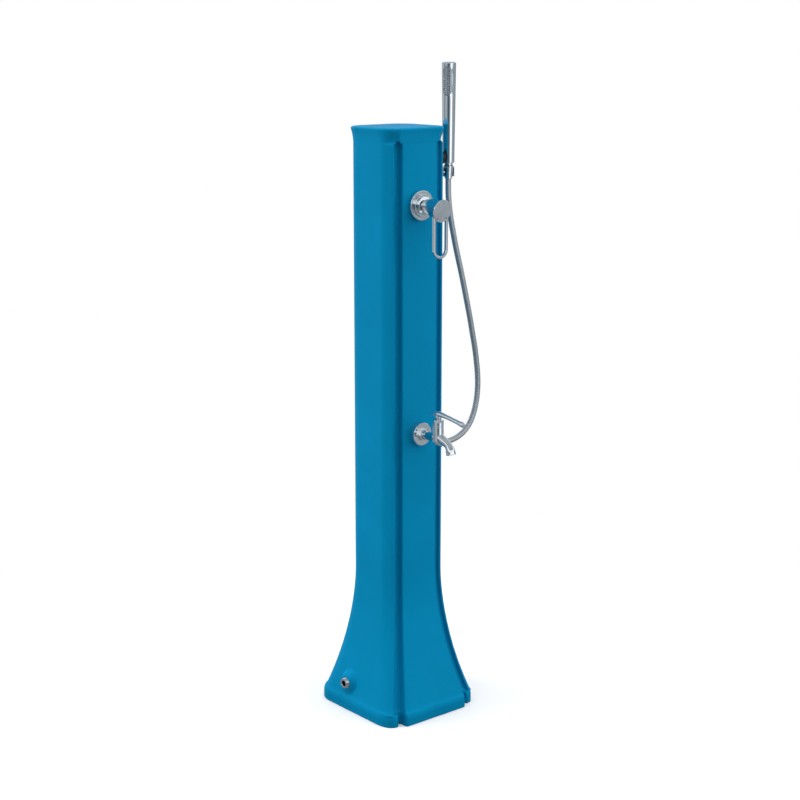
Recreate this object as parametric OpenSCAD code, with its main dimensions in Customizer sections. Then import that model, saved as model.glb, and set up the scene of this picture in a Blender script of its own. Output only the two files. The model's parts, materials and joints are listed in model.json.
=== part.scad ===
// Outdoor shower post: a hollow moulded column with a flared foot, a lever mixer,
// a foot tap and a stick hand shower on a side holder with its hose.
// The frame stands on its foot: Z is up, the fittings face -Y, the hand shower hangs on +X.

/* [Column] */
// Height of the moulded column
column_h = 1200; // [1000:5:1400]
// Width of the straight shaft, side to side
column_w = 148; // [136:1:170]
// Depth of the straight shaft, panel to back
column_d = 140; // [132:1:160]
// Wall thickness of the moulding
wall = 5; // [3:0.5:7]
// Radius of the two back corners of the shaft
back_r = 38; // [25:1:50]
// Half of the width of the front panel
panel_half = 44; // [40:0.5:50]
// Radius of the moulded edges along the grooves
lip_r = 3; // [2:0.25:4]
// How far the rim grows past the shaft on each side
rim_grow = 3.5; // [2:0.5:9]
// Height over which the rim grows
rim_h = 33; // [20:1:50]
// Radius of the top edge
top_r = 4; // [2:0.5:8]

/* [Grooves] */
// Width of a front groove on the shaft
groove_w = 15.5; // [13:0.5:19]
// Depth of a front groove, from the panel
groove_d = 12.5; // [9:0.5:15]
// How far the corner posts stand back from the panel
post_back = 5.5; // [3:0.5:7]
// Distance from the top of the column to the arched end of a groove
groove_top = 27; // [24:1:60]

/* [Foot] */
// Width of the foot
base_w = 240; // [220:1:280]
// Depth of the foot
base_d = 256; // [236:1:296]
// Height of the plinth
plinth_h = 25; // [22:0.5:32]
// Step from the plinth in to the flare
plinth_step = 3.5; // [2.5:0.5:6]
// Height at which the flare has run out into the shaft
flare_h = 300; // [240:5:360]
// Thickness of the floor of the column
floor_t = 14; // [12:0.5:18]
// Width of an anchor slot
slot_w = 12; // [10:0.5:14]
// Length of an anchor slot, from the front of the foot
slot_l = 22; // [16:0.5:24]

/* [Base cover] */
// Diameter of the cover under the foot
cover_dia = 180; // [160:1:190]
// Thickness of the cover
cover_t = 3.5; // [3:0.25:4.5]
// Thickness of the gasket over the cover
gasket_t = 1.5; // [1:0.25:2]
// Number of cover screws
cover_screws = 8; // [6:1:12]

/* [Mixer] */
// Distance of the mixer axis below the top of the column
mixer_drop = 150; // [120:5:300]
// Diameter of the wall flange
mixer_flange_dia = 59; // [54:0.5:70]
// Depth of the wall flange
mixer_flange_t = 8; // [6:0.5:10]
// Distance from the panel to the pivot of the handle
mixer_reach = 26; // [25:0.5:32]
// Diameter of the end face of the handle
handle_dia = 45; // [42:0.5:52]
// Length of the handle in front of its pivot
handle_l = 41.5; // [38:0.5:50]
// How far the closed handle points down
handle_droop = 9; // [0:1:12]
// Outer width of the lever loop
loop_w = 37; // [34:0.5:40]
// Drop from the mixer axis to the lowest point of the loop
loop_drop = 99; // [80:1:110]
// Thickness of the loop bar, seen from the front
loop_t = 5.5; // [4:0.25:7]
// Depth of the loop bar
loop_d = 6.5; // [5:0.25:8]

/* [Foot tap] */
// Height of the tap inlet above the ground
tap_z = 592; // [400:5:700]
// Diameter of the tap flange
tap_flange_dia = 50; // [46:0.5:60]
// Distance from the panel to the axis of the tap barrel
tap_reach = 58; // [52:0.5:66]
// Diameter of the tap barrel
barrel_dia = 21.5; // [20:0.5:26]
// Diameter of the spout
spout_dia = 18; // [16:0.5:20]
// Length of the tap lever in front of the barrel axis
tap_lever_l = 76; // [60:1:90]

/* [Hand shower] */
// Distance from the middle of the column to the hand shower
shower_x = 114; // [108:0.5:125]
// Distance of the hand shower in front of the middle
shower_y = 24; // [18:0.5:26]
// Distance of the foot of the stick below the top of the column
stick_drop = 76; // [40:1:200]
// Length of the stick
stick_l = 198; // [160:1:230]
// Diameter of the stick at the top
stick_top_dia = 28.5; // [26:0.25:32]
// Diameter of the stick at the foot
stick_foot_dia = 24; // [22:0.25:25]
// Direction that the nozzles face, turned left from the front
nozzle_turn = 58; // [0:1:90]
// Rows of nozzles
nozzle_rows = 14; // [7:1:16]
// Columns of nozzles
nozzle_cols = 5; // [3:1:5]

/* [Hose and holder] */
// Diameter of the hose
hose_dia = 14; // [12:0.5:15]
// Height of the hose outlet above the ground
outlet_z = 547; // [520:1:580]
// Height of the holder cup
cup_h = 18; // [14:0.5:20]
// Wall of the holder cup
cup_wall = 2.6; // [2:0.1:3.5]

/* [Water inlet] */
// Distance of the inlet behind the middle of the column
inlet_y = 26; // [15:1:40]
// Height of the inlet above the ground
inlet_z = 57; // [50:1:70]
// Outer diameter of the inlet thread
inlet_dia = 20.95; // [18:0.05:22]
// Bore of the inlet nipple
inlet_bore = 12; // [10:0.5:15]

/* [Hidden] */

// Clearances and overruns
over = 1;
gap = 0.3;
run = 0.05;
fine = 64;
small = 32;

// Shared places
panel_y = column_d / 2;
side_x = column_w / 2;
mixer_z = column_h - mixer_drop;
stick_z = column_h - stick_drop;
groove_mid = panel_half + groove_w / 2;
foot_hw = base_w / 2 - plinth_step;
foot_front = base_d / 2 - plinth_step;
foot_panel_half = base_w / 3;
foot_lip_x = foot_panel_half + groove_w + wall + lip_r / 2;
foot_post_back = 13;
foot_groove_d = foot_post_back + 2.5 * lip_r;
foot_groove_mid = (foot_panel_half + foot_lip_x) / 2;
plinth_lip_x = foot_panel_half + slot_w;
plinth_post_back = post_back * 2;
slot_edge_r = 4.5;

// Where the straight side begins behind the front corner, as a share of half the depth
side_start_share = 0.54;
// Where the chamfer's control point lies, as a share of half the depth
chamfer_ctrl_share = 0.66;
// The same two places on the round corner of the plinth and of the rim
plinth_start_share = 0.58;
plinth_ctrl_share = 0.9;
rim_start_share = 0.48;
rim_ctrl_share = 0.84;
// Power of the curve that the flare follows
flare_power = 1.85;
foot_back_r = back_r * 1.2;

// Height of the bands near the top: the groove's arch and the plain band above it
arch_h = groove_w / 2;
arch_z = column_h - groove_top;
band_low = arch_z + lip_r;
band_high = band_low + arch_h * 1.6;

function mix(a, b, t) = a + (b - a) * t;
function clamp01(t) = max(0, min(1, t));
function ease(t) = let (c = clamp01(t)) c * c * (3 - 2 * c);
function arc(c, r, a0, a1, n) =
    [for (i = [0:n]) let (a = mix(a0, a1, i / n)) [c[0] + r * cos(a), c[1] + r * sin(a)]];
function flare(z) =
    z >= flare_h ? 0 : z <= plinth_h ? 1 : pow((flare_h - z) / (flare_h - plinth_h), flare_power);
function rim(z) = rim_grow * pow(clamp01((z - column_h + rim_h) / (rim_h - top_r)), 2);

// The right half of a level's outline, from the edge of the panel to the back corner.
// hw, fr: half width and half depth; ph: half of the panel; lx, ly: the post's lip;
// d: groove depth; e: edge radius; sy, cy: start and control of the corner; br: back corner
function half_outline(hw, fr, ph, lx, ly, d, e, sy, cy, br, grooved, n) =
    let (
        lip = [lx + e, -ly + e],
        tang = atan2(-cy - lip[1], hw - lip[0]),
        lip_end = [lip[0] + e * sin(tang), lip[1] - e * cos(tang)],
        cut = concat(
            arc([ph - e, -fr + e], e, -90, 0, n),
            arc([ph + e, -fr + d - e], e, 180, 90, n),
            arc([lx - e, -fr + d - e], e, 90, 0, n),
            arc(lip, e, 180, 270 + tang, n + 1)
        ),
        last = len(cut) - 1,
        start = [ph - e, -fr],
        bow = [mix(start[0], lip_end[0], 1 / 2), -fr],
        plain = [for (i = [0:last]) let (t = i / last)
            mix(mix(start, bow, t), mix(bow, lip_end, t), t)],
        corner = [for (i = [1:2 * n]) let (t = i / (2 * n))
            mix(mix(lip_end, [hw, -cy], t), mix([hw, -cy], [hw, -sy], t), t)]
    )
    concat(grooved ? cut : plain, corner, arc([hw - br, fr - br], br, 0, 90, 2 * n + 1));

function mirrored(half) =
    concat(half, [for (i = [len(half) - 1:-1:0]) [-half[i][0], half[i][1]]]);

// A level of the plinth, whose front has the two anchor slots
function plinth_level(z, inset, n) = let (fr = base_d / 2 - inset) [z, mirrored(half_outline(
    base_w / 2 - inset, fr, foot_panel_half, plinth_lip_x, fr - plinth_post_back,
    slot_l - inset, slot_edge_r, fr * plinth_start_share, fr * plinth_ctrl_share, foot_back_r, true, n))];

// A level of the flare, the shaft and the rim: inset moves the outline in
function level(z, inset, n) =
    let (
        f = flare(z),
        top = ease((z - band_low) / (band_high - band_low)),
        narrow = z <= arch_z - arch_h ? 1 : sqrt(max(0, 1 - pow((z - arch_z + arch_h) / arch_h, 2))),
        hw = mix(side_x, foot_hw, f) + rim(z) - inset,
        fr = mix(panel_y, foot_front, f) + rim(z) - inset,
        half_gap = mix(groove_w, foot_lip_x - foot_panel_half, f) / 2 * max(narrow, 1 / 4),
        mid = mix(groove_mid, foot_groove_mid, f),
        back_off = mix(mix(post_back, foot_post_back, f), 0, top),
        d = mix(groove_d, foot_groove_d, f),
        e = min(lip_r, (d - back_off) / 2.1) * max(narrow, 1 / 4),
        start_share = mix(mix(side_start_share, rim_start_share, top), plinth_start_share, f),
        ctrl_share = mix(mix(chamfer_ctrl_share, rim_ctrl_share, top), plinth_ctrl_share, f)
    )
    [z, mirrored(half_outline(
        hw, fr, mid - half_gap, mid + half_gap, fr - back_off - top * lip_r / 2,
        d, e, fr * start_share, fr * ctrl_share, mix(back_r, foot_back_r, f), z <= arch_z, n))];

// A level of the cavity, which runs behind the grooves and leaves the corner posts solid.
// fr: how far its front is from the middle; d: how far the groove's back is behind that
function cavity_level(z, f, fr, d) =
    let (
        hw = mix(side_x, foot_hw, f) - wall,
        bk = mix(panel_y, foot_front, f) - wall,
        br = mix(back_r, foot_back_r, f) - wall,
        ph = mix(panel_half, foot_panel_half, f) - wall,
        step = [mix(groove_mid, foot_groove_mid, f), -fr + max(d, lip_r)],
        corner = [hw, step[1]],
        side = [hw, -bk * mix(side_start_share, plinth_start_share, f)]
    )
    [z, mirrored(concat(
        [[ph - wall, -fr], [ph, -fr + max(d, lip_r / 2)], step],
        [for (t = [1 / 3, 2 / 3, 1]) mix(mix(step, corner, t), mix(corner, side, t), t)],
        arc([hw - br, bk - br], br, 0, 90, 4)
    ))];
function cavity(z) = let (f = flare(z))
    cavity_level(z, f, mix(panel_y, foot_front, f) - wall, mix(groove_d, foot_groove_d, f));

// A solid through a list of levels [height, outline]
module loft(levels) skin([for (l = levels) [for (p = l[1]) [p[0], p[1], l[0]]]], true);

function middle(ring) = [for (p = ring) 1] * ring / len(ring);

// A solid through a list of rings, each turning right-handed about the way they go.
// flat: each end is one flat face, which may have hollows in its outline
module skin(rings, flat = false) {
    n = len(rings[0]);
    m = len(rings);
    sides = [for (k = [0:m - 2]) for (i = [0:n - 1]) let (
            a = k * n + i, b = k * n + (i + 1) % n, c = b + n, d = a + n)
        each [[a, d, c], [a, c, b]]];
    first = flat ? [[for (i = [0:n - 1]) i]]
        : [for (i = [0:n - 1]) [m * n, i, (i + 1) % n]];
    last = flat ? [[for (i = [n - 1:-1:0]) (m - 1) * n + i]]
        : [for (i = [0:n - 1]) [m * n + 1, (m - 1) * n + (i + 1) % n, (m - 1) * n + i]];
    middles = flat ? [] : [middle(rings[0]), middle(rings[m - 1])];
    polyhedron(concat([for (ring = rings) each ring], middles), concat(first, sides, last));
}

// Column
edge_r = 1.5;
plinth_r = 8;
edge_n = 3;
flare_n = 12;
inner_top = column_h - wall;
outer_levels = concat(
    [plinth_level(0, edge_r, edge_n), plinth_level(edge_r, 0, edge_n)],
    [for (a = [0, 30, 55, 75])
        plinth_level(plinth_h - plinth_r * (1 - sin(a)), plinth_step * (1 - cos(a)), edge_n)],
    [for (i = [0:flare_n]) level(mix(plinth_h, flare_h, i / flare_n), 0, edge_n)],
    [for (t = [0, 0.35, 0.6, 0.8, 0.92, 0.99]) level(arch_z - arch_h * (1 - t), 0, edge_n)],
    [for (t = [0.01, 0.25, 0.5, 0.75, 1]) level(mix(band_low, band_high, t), 0, edge_n)],
    [for (t = [0.35, 0.7]) level(mix(band_high, column_h - top_r, t), 0, edge_n)],
    [for (a = [0, 30, 60, 90]) level(column_h - top_r * (1 - sin(a)), top_r * (1 - cos(a)), edge_n)]
);
inner_levels = concat(
    [cavity_level(floor_t, 1, foot_front - foot_groove_d - wall, 0)],
    [for (i = [0:6]) cavity(mix(plinth_h, flare_h, i / 6))],
    [cavity(arch_z), cavity_level(inner_top, 0, panel_y - wall, 0)]
);

// Base cover, its gasket and screws
cover_lift = 1;
cover_r = cover_dia / 2;
cover_top = cover_lift + cover_t;
cover_seat = cover_top + gasket_t;
cover_rim = 15;
screw_r = 2.45;
screw_head_r = 4.6;
screw_head_h = 2.2;
screw_pitch_r = cover_r - cover_rim / 2;
screw_depth = 6;

// Threads, nuts and washers that the fittings share
half_inch_r = 10.475;
hole_r = half_inch_r + gap;
washer_t = 1.5;
nut_t = 6;
nut_r = 16;
tail_l = 16;
pipe_r = 7;
pipe_bore = 5;

// Water inlet
inlet_r = inlet_dia / 2;
inlet_thread_l = 7;
inlet_flange_r = 11.6;
inlet_flange_t = 1;
inlet_boss_r = 15;
inlet_boss_skirt = 5;
inlet_tail_l = 3.5;
inlet_boss_out = foot_hw;
inlet_boss_in = mix(side_x, foot_hw, flare(inlet_z + nut_r)) - wall - gap;
inlet_boss_l = inlet_boss_out - inlet_boss_in;
inlet_end = inlet_boss_out + inlet_thread_l;
inlet_tail = inlet_boss_in - washer_t - nut_t - inlet_tail_l;

// Mixer, measured out from the panel
block_r = 22;
block_flange_r = 24;
block_flange_t = 4;
neck_r = 17;
neck_past = 4;
neck_out = mixer_flange_t + neck_past;
cartridge_r = 12;
cartridge_low = 25;
bore_r = cartridge_r + gap;
bore_low = cartridge_low + 2 * pipe_bore;
ring_nut_r = 22;
ring_nut_t = 5;
step_r = 23;
step_t = 5;
step_out = mixer_flange_t + step_t;
flange_skin = 2;
flange_wall = 3.5;
bonnet_ball_r = 12.5;
bonnet_neck_r = 10.8;
bonnet_collar_r = 18;
bonnet_collar_t = 3;
sleeve_r = 8;
sleeve_out = 7;
sleeve_in = 18;
sleeve_floor = 3;
stem_w = 6;
stem_tail = 10;
stem_reach = 30;
pivot_r = 1.5;
pivot_l = 15;
cap_r = handle_dia / 2;
cap_edge = 1.2;
cap_skirt = 3;
cap_skirt_r = 14.3;
cap_hollow_r = 13.1;
cap_wall = 1.6;
disc_r = cap_r - cap_wall;
disc_t = 1.2;
dot_r = 1.3;
dot_t = 0.3;
dot_x = 11;
dot_drop = 14;
loop_half = loop_w / 2;
loop_out = mixer_reach + handle_l * cos(handle_droop) - cap_r * sin(handle_droop) - loop_d / 2;
loop_top = 10;
loop_r = 1.6;
port_r = 9;
port_out = 26;
block_l = panel_y - shower_y + port_r;

// Pipes inside the column
riser_x = 36;
tee_low = 90;
tee_w = 24;
tap_tee_w = 16;
pickup_gap = 25;
valve_r = 9;
valve_l = 22;
pipe_y = panel_y - groove_d - wall - tap_tee_w / 2 - 2 * gap;

// Tap, measured out from the panel or up from its inlet axis
tap_flange_t = 11;
tap_flange_r = tap_flange_dia / 2;
tap_flange_wall = 2;
tap_flange_edge = 1.5;
hex_r = 13;
hex_t = 6;
tap_neck_r = 8.5;
barrel_r = barrel_dia / 2;
barrel_low = 4;
barrel_high = 35;
barrel_bore = 7.5;
bonnet_h = 4;
bonnet_r = 11.5;
headwork_low = 12;
spindle_r = 4;
spindle_low = 20;
spindle_high = 45;
hub_r = 6.5;
hub_low = 42;
lever_mid = 48;
cap_screw_r = 2.6;
cap_screw_t = 1;
spout_r = spout_dia / 2;
spout_up = 5;
spout_slope = 22;
spout_straight = 26;
spout_bend = 53;
spout_bend_r = 22;
spout_tip = 7;
aerator_r = 6.5;
aerator_t = 4;

// The lever's stations as shares: place along the lever, rise, half width, half thickness
lever_rise = 8;
lever_half_w = 6.5;
lever_half_t = 4;
lever_shares = [
    [-0.32, -0.25, 0.16, 0.2], [-0.24, 0, 0.5, 0.5], [-0.12, 0.17, 0.85, 0.85], [0, 0.25, 1, 1],
    [0.13, 0.22, 0.92, 0.95], [0.26, 0.1, 0.77, 0.85], [0.42, -0.1, 0.7, 0.8],
    [0.6, -0.36, 0.69, 0.78], [0.77, -0.62, 0.72, 0.8], [0.87, -0.78, 0.8, 0.95],
    [0.95, -0.9, 0.83, 1], [1, -0.98, 0.45, 0.55]
];

// Hose outlet and holder, measured out from the side
outlet_flange_r = 16;
outlet_flange_t = 4;
outlet_hex_r = 12;
outlet_hex_t = 7;
outlet_nip_r = 8;
outlet_nip_t = 3;
outlet_seat_t = 1.5;
outlet_front = outlet_flange_t + outlet_hex_t + outlet_nip_t;
hose_nut_r = 9.5;
hose_nut_t = 10;
bracket_w = 26;
bracket_h = 50;
bracket_t = 10;
bracket_boss_r = 12.5;
bracket_boss_out = 23;
bracket_boss_up = 37;
bracket_screw_r = 2;
bracket_head_r = 4;
bracket_head_t = 2.4;
bracket_screw_y = 8;
bracket_screw_up = 17.5;
bracket_screw_in = 4;
arm_r = 3;
arm_in = 4;
arm_up = 8;

// Hand shower, measured from the foot of the stick
stick_foot_r = stick_foot_dia / 2;
stick_top_r = stick_top_dia / 2;
stick_edge = 2.5;
stick_neck_r = 8.5;
stick_neck_l = 5;
stick_wall = 1.8;
stick_low = 5;
cone_gap = 1;
cone_top_r = 9.4;
cone_low_r = 7.8;
cone_l = 25;
cone_collar_r = 10.4;
cone_collar_l = 3;
cup_slack = 0.15;
cup_slot = hose_dia + 2 * cup_slack;
cone_top = stick_z - stick_neck_l - cone_gap;
cone_low = cone_top - cone_l;
cup_top = cone_top - cone_collar_l;
cup_z = cup_top - cup_h / 2;
bracket_low = cup_z - arm_up;
bracket_boss_z = bracket_low + bracket_boss_up;
bracket_screw_z = bracket_low + bracket_screw_up;
plate_w = 18;
plate_high = 8;
plate_pitch = 3.8;
plate_top = stick_l - plate_high;
plate_low = plate_top - plate_pitch * nozzle_rows - plate_w / 4;
nozzle_r = 0.8;
nozzle_out = 1;
nozzle_step = 14;

// Route of the hose: [x, z] in the plane of the hand shower, from the cone nut to the outlet.
// Its ends move with these two pieces, and what lies between them follows.
HOSE = [
    [114, 1093], [114, 1078], [114.5, 1062], [116, 1045], [119, 1024], [124, 1000], [130, 975],
    [137, 948], [145, 920], [153, 892], [161, 862], [169, 831], [177, 799], [184, 768],
    [191, 737], [196, 707], [199.5, 678], [200, 650], [196.5, 622], [189, 597], [178, 577],
    [163, 562.5], [146, 553.5], [128, 549], [112, 547.5], [98, 547]
];
hose_sides = 10;

module at_panel(z) translate([0, -panel_y, z]) rotate([90, 0, 0]) children();
module at_side(y, z) translate([side_x, -y, z]) rotate([90, 0, 90]) children();
module at_inlet(out) translate([-out, inlet_y, inlet_z]) rotate([90, 0, 90]) children();
module at_tap_side(z) translate([0, -panel_y - tap_reach, z]) rotate([90, 0, -90]) children();
module at_handle() at_panel(mixer_z) translate([0, 0, mixer_reach]) rotate([handle_droop, 0, 0]) children();
module at_shower(z) translate([shower_x, -shower_y, z]) children();
module spread(n, r) for (i = [0:n - 1]) rotate([0, 0, i * 360 / n]) translate([r, 0, 0]) children();

module tube(r, bore, h) difference() {
    cylinder(h = h, r = r, $fn = fine);
    translate([0, 0, -over]) cylinder(h = h + 2 * over, r = bore, $fn = fine);
}

// A straight length from p to q, and a line of them with ball corners
module rod(p, q, r, extra = 0) {
    d = q - p;
    l = norm(d);
    translate(p) rotate([0, acos(d[2] / l), atan2(d[1], d[0])])
        translate([0, 0, -extra]) cylinder(h = l + 2 * extra, r = r, $fn = small);
}
module line(points, r, extra = 0) {
    last = len(points) - 1;
    for (i = [0:last - 1]) rod(points[i], points[i + 1], r, i == 0 || i == last - 1 ? extra : 0);
    if (last > 1) for (i = [1:last - 1]) translate(points[i]) sphere(r, $fn = small);
}
module pipe(points) difference() {
    line(points, pipe_r);
    line(points, pipe_bore, over);
}
module ring(r, bore, low, h) translate([0, 0, low]) tube(r, bore, h);
module disc(r, low, h) translate([0, 0, low]) cylinder(h = h, r = r, $fn = fine);
module hex(r, low, h) translate([0, 0, low]) cylinder(h = h, r = r, $fn = 6);
module lathe(profile) rotate_extrude($fn = fine) polygon(profile);

// A rectangle with round corners, as points
function round_rect(w, d, r, n) = [for (c = [[1, 1, 0], [-1, 1, 90], [-1, -1, 180], [1, -1, 270]])
    each arc([c[0] * (w / 2 - r), c[1] * (d / 2 - r)], r, c[2], c[2] + 90, n)];

// The column
module screw_place() spread(cover_screws, screw_pitch_r) children();

module column_shell() color("#0082b2") difference() {
    union() {
        difference() {
            loft(outer_levels);
            loft(inner_levels);
        }
        at_inlet(inlet_boss_out)
            cylinder(h = inlet_boss_l, r1 = inlet_boss_r, r2 = inlet_boss_r + inlet_boss_skirt, $fn = fine);
        at_side(shower_y, outlet_z) disc(nut_r + wall / 2, -wall - outlet_seat_t, outlet_seat_t + wall / 2);
    }
    at_panel(mixer_z) disc(neck_r + gap, -3 * wall, 4 * wall);
    at_panel(tap_z) disc(hole_r, -3 * wall, 4 * wall);
    at_side(shower_y, outlet_z) disc(hole_r, -3 * wall, 4 * wall);
    at_inlet(inlet_end) disc(inlet_r + gap, 0, inlet_end - inlet_tail);
    disc(cover_r + gap, -over, cover_seat + over);
    disc(cover_r - cover_rim, -over, floor_t + 2 * over);
    screw_place() disc(screw_r + run, 0, cover_seat + screw_depth);
    holder_screw_place() disc(bracket_screw_r + run, -bracket_screw_in, bracket_screw_in + over);
}

// Base cover
module base_gasket() color("#2a2a2a") difference() {
    ring(cover_r, cover_r - cover_rim, cover_top, gasket_t);
    screw_place() disc(screw_r + gap, 0, cover_seat + over);
}

module base_cover() color("#3a3d40") difference() {
    disc(cover_r, cover_lift, cover_t);
    screw_place() {
        disc(screw_r + gap, 0, cover_seat);
        translate([0, 0, cover_lift]) screw_head(gap);
    }
}

module screw_head(extra)
    cylinder(h = screw_head_h, r1 = screw_head_r + extra, r2 = screw_r + extra, $fn = small);

module cover_screws_set() color("#b9bcc0") screw_place() {
    translate([0, 0, cover_lift]) screw_head(0);
    disc(screw_r, cover_lift + screw_head_h / 2,
        cover_seat + screw_depth - gap - cover_lift - screw_head_h / 2);
}

// Water inlet
module inlet_nipple() color("#d9dcde") difference() {
    union() {
        at_inlet(inlet_end) disc(inlet_r, 0, inlet_end - inlet_tail);
        at_inlet(inlet_boss_out + inlet_flange_t) disc(inlet_flange_r, 0, inlet_flange_t);
    }
    at_inlet(inlet_end) disc(inlet_bore / 2, -over, inlet_end - inlet_tail + 2 * over);
}

module inlet_gasket() color("#2a2a2a") at_inlet(inlet_boss_in) ring(nut_r, inlet_r + gap, 0, washer_t);

module nut(bore) difference() {
    hex(nut_r, 0, nut_t);
    disc(bore + run, -over, nut_t + 2 * over);
}

module inlet_nut() color("#c9a24a") at_inlet(inlet_boss_in - washer_t) nut(inlet_r);

// Pipes
module tee(x, y, low, w) translate([x, y, low]) difference() {
    translate([-w / 2, -w / 2, 0]) cube(w);
    disc(pipe_bore, -over, w + 2 * over);
}

module feed_pipe() color("#c07a3e") pipe([
    [-inlet_tail, inlet_y, inlet_z], [-riser_x, inlet_y, inlet_z],
    [-riser_x, -pipe_y, inlet_z], [-riser_x, -pipe_y, tee_low]
]);

module feed_tee() color("#c9a24a") difference() {
    tee(-riser_x, -pipe_y, tee_low, tee_w);
    rod([-riser_x, -pipe_y, tee_low + tee_w / 2],
        [-riser_x, -pipe_y + tee_w, tee_low + tee_w / 2], pipe_bore);
}

module fill_valve() color("#c9a24a")
    translate([-riser_x, tee_w / 2 - pipe_y, tee_low + tee_w / 2]) rotate([-90, 0, 0]) lathe([
        [pipe_bore / 2, 0], [valve_r, 0], [valve_r, valve_l * 0.6], [pipe_r, valve_l * 0.75],
        [pipe_r, valve_l], [pipe_bore / 2, valve_l]
    ]);

module cold_riser() color("#c07a3e") pipe([
    [-riser_x, -pipe_y, tee_low + tee_w], [-riser_x, -pipe_y, tap_z - tap_tee_w / 2]
]);

module tap_tee() color("#c9a24a") difference() {
    tee(-riser_x, -pipe_y, tap_z - tap_tee_w / 2, tap_tee_w);
    rod([-riser_x, -pipe_y, tap_z], [tap_tee_w - riser_x, -pipe_y, tap_z], pipe_bore);
}

module cold_upper_pipe() color("#c07a3e") pipe([
    [-riser_x, -pipe_y, tap_z + tap_tee_w / 2], [-riser_x, -pipe_y, mixer_z],
    [-port_out, -pipe_y, mixer_z]
]);

module tap_branch() color("#c07a3e") pipe([
    [0, tail_l - panel_y, tap_z], [0, -pipe_y, tap_z], [tap_tee_w / 2 - riser_x, -pipe_y, tap_z]
]);

module warm_pickup() color("#c07a3e") pipe([
    [port_out, -pipe_y, mixer_z], [riser_x, -pipe_y, mixer_z],
    [riser_x, -pipe_y, column_h - wall - pickup_gap]
]);

module mixed_pipe() color("#c07a3e") pipe([
    [0, -shower_y, mixer_z - port_out], [0, -shower_y, outlet_z],
    [side_x - tail_l - outlet_seat_t, -shower_y, outlet_z]
]);

// Mixer
module mixer_block() color("#c9a24a") at_panel(mixer_z) {
    side_z = pipe_y - panel_y;
    low_z = shower_y - panel_y;
    back = -wall - washer_t;
    difference() {
        union() {
            disc(block_r, -block_l, block_l + back);
            disc(block_flange_r, back - block_flange_t, block_flange_t);
            disc(neck_r, back, neck_out - back);
            rod([-port_out, 0, side_z], [port_out, 0, side_z], port_r);
            rod([0, -port_out, low_z], [0, 0, low_z], port_r);
        }
        disc(bore_r, -bore_low, bore_low + neck_out + over);
        rod([-port_out, 0, side_z], [port_out, 0, side_z], pipe_bore, over);
        rod([0, -port_out - over, low_z], [0, 0, low_z], pipe_bore);
        disc(pipe_bore, low_z, bore_low);
    }
}

module mixer_gasket() color("#2a2a2a") at_panel(mixer_z)
    ring(block_flange_r, neck_r + gap, -wall - washer_t, washer_t);

module mixer_nut() color("#c9a24a") at_panel(mixer_z) difference() {
    ring(ring_nut_r, neck_r + run, 0, ring_nut_t);
    spread(4, ring_nut_r) translate([0, 0, ring_nut_t / 2 - over]) cube(ring_nut_t, center = true);
}

module mixer_flange() color("#d9dcde") at_panel(mixer_z) {
    r = mixer_flange_dia / 2;
    soft = mixer_flange_t / 5;
    lathe(concat(
        [[r - flange_wall, 0], [r, 0]],
        arc([r - soft, mixer_flange_t - soft], soft, 0, 90, 4),
        [[step_r, mixer_flange_t]],
        arc([step_r - soft, step_out - soft], soft, 0, 90, 4),
        [[neck_r + gap, step_out], [neck_r + gap, mixer_flange_t - flange_skin],
         [r - flange_wall, mixer_flange_t - flange_skin]]
    ));
}

module mixer_cartridge() color("#e8e4d8") at_panel(mixer_z)
    disc(cartridge_r, -cartridge_low, cartridge_low + mixer_reach - sleeve_in);

module mixer_bonnet() color("#d9dcde") at_panel(mixer_z) difference() {
    union() {
        disc(bore_r - run, mixer_reach - sleeve_in + gap, step_out - mixer_reach + sleeve_in);
        disc(bonnet_collar_r, step_out, bonnet_collar_t);
        translate([0, 0, step_out + bonnet_collar_t])
            cylinder(h = flange_skin, r1 = bonnet_collar_r, r2 = bonnet_neck_r, $fn = fine);
        disc(bonnet_neck_r, step_out, mixer_reach - step_out);
        translate([0, 0, mixer_reach]) sphere(bonnet_ball_r, $fn = fine);
    }
    disc(sleeve_r + run, 0, mixer_reach + 2 * bonnet_ball_r);
}

module pivot_hole() translate([0, 0, mixer_reach]) rod([-pivot_l, 0, 0], [pivot_l, 0, 0], pivot_r + run);

module mixer_sleeve() color("#e8e4d8") at_panel(mixer_z) difference() {
    disc(sleeve_r, mixer_reach - sleeve_in, sleeve_in + sleeve_out);
    translate([0, 0, mixer_reach - sleeve_in + sleeve_floor + sleeve_in])
        cube([stem_w + 2 * gap, 3 * sleeve_r, 2 * sleeve_in], center = true);
    pivot_hole();
}

module mixer_pin() color("#b9bcc0") at_panel(mixer_z) translate([0, 0, mixer_reach])
    rod([-pivot_l / 2, 0, 0], [pivot_l / 2, 0, 0], pivot_r);

module mixer_stem() color("#b9bcc0") at_handle() difference() {
    translate([-stem_w / 2, -stem_w / 2, -stem_tail]) cube([stem_w, stem_w, stem_tail + stem_reach]);
    rod([-stem_w, 0, 0], [stem_w, 0, 0], pivot_r + run);
}

module mixer_handle() color("#d9dcde") {
    at_handle() difference() {
        lathe([
            [0, -cap_skirt], [cap_skirt_r, -cap_skirt], [cap_r, handle_l - cap_edge],
            [cap_r - cap_edge / 2, handle_l], [0, handle_l]
        ]);
        sphere(cap_hollow_r, $fn = fine);
        disc(cap_hollow_r, -2 * cap_skirt, 2 * cap_skirt);
        translate([-stem_w / 2 - run, -stem_w / 2 - run, 0])
            cube([stem_w + 2 * run, stem_w + 2 * run, stem_reach]);
        disc(disc_r + run, handle_l - disc_t, disc_t + over);
    }
    at_panel(mixer_z) handle_loop();
}

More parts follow.
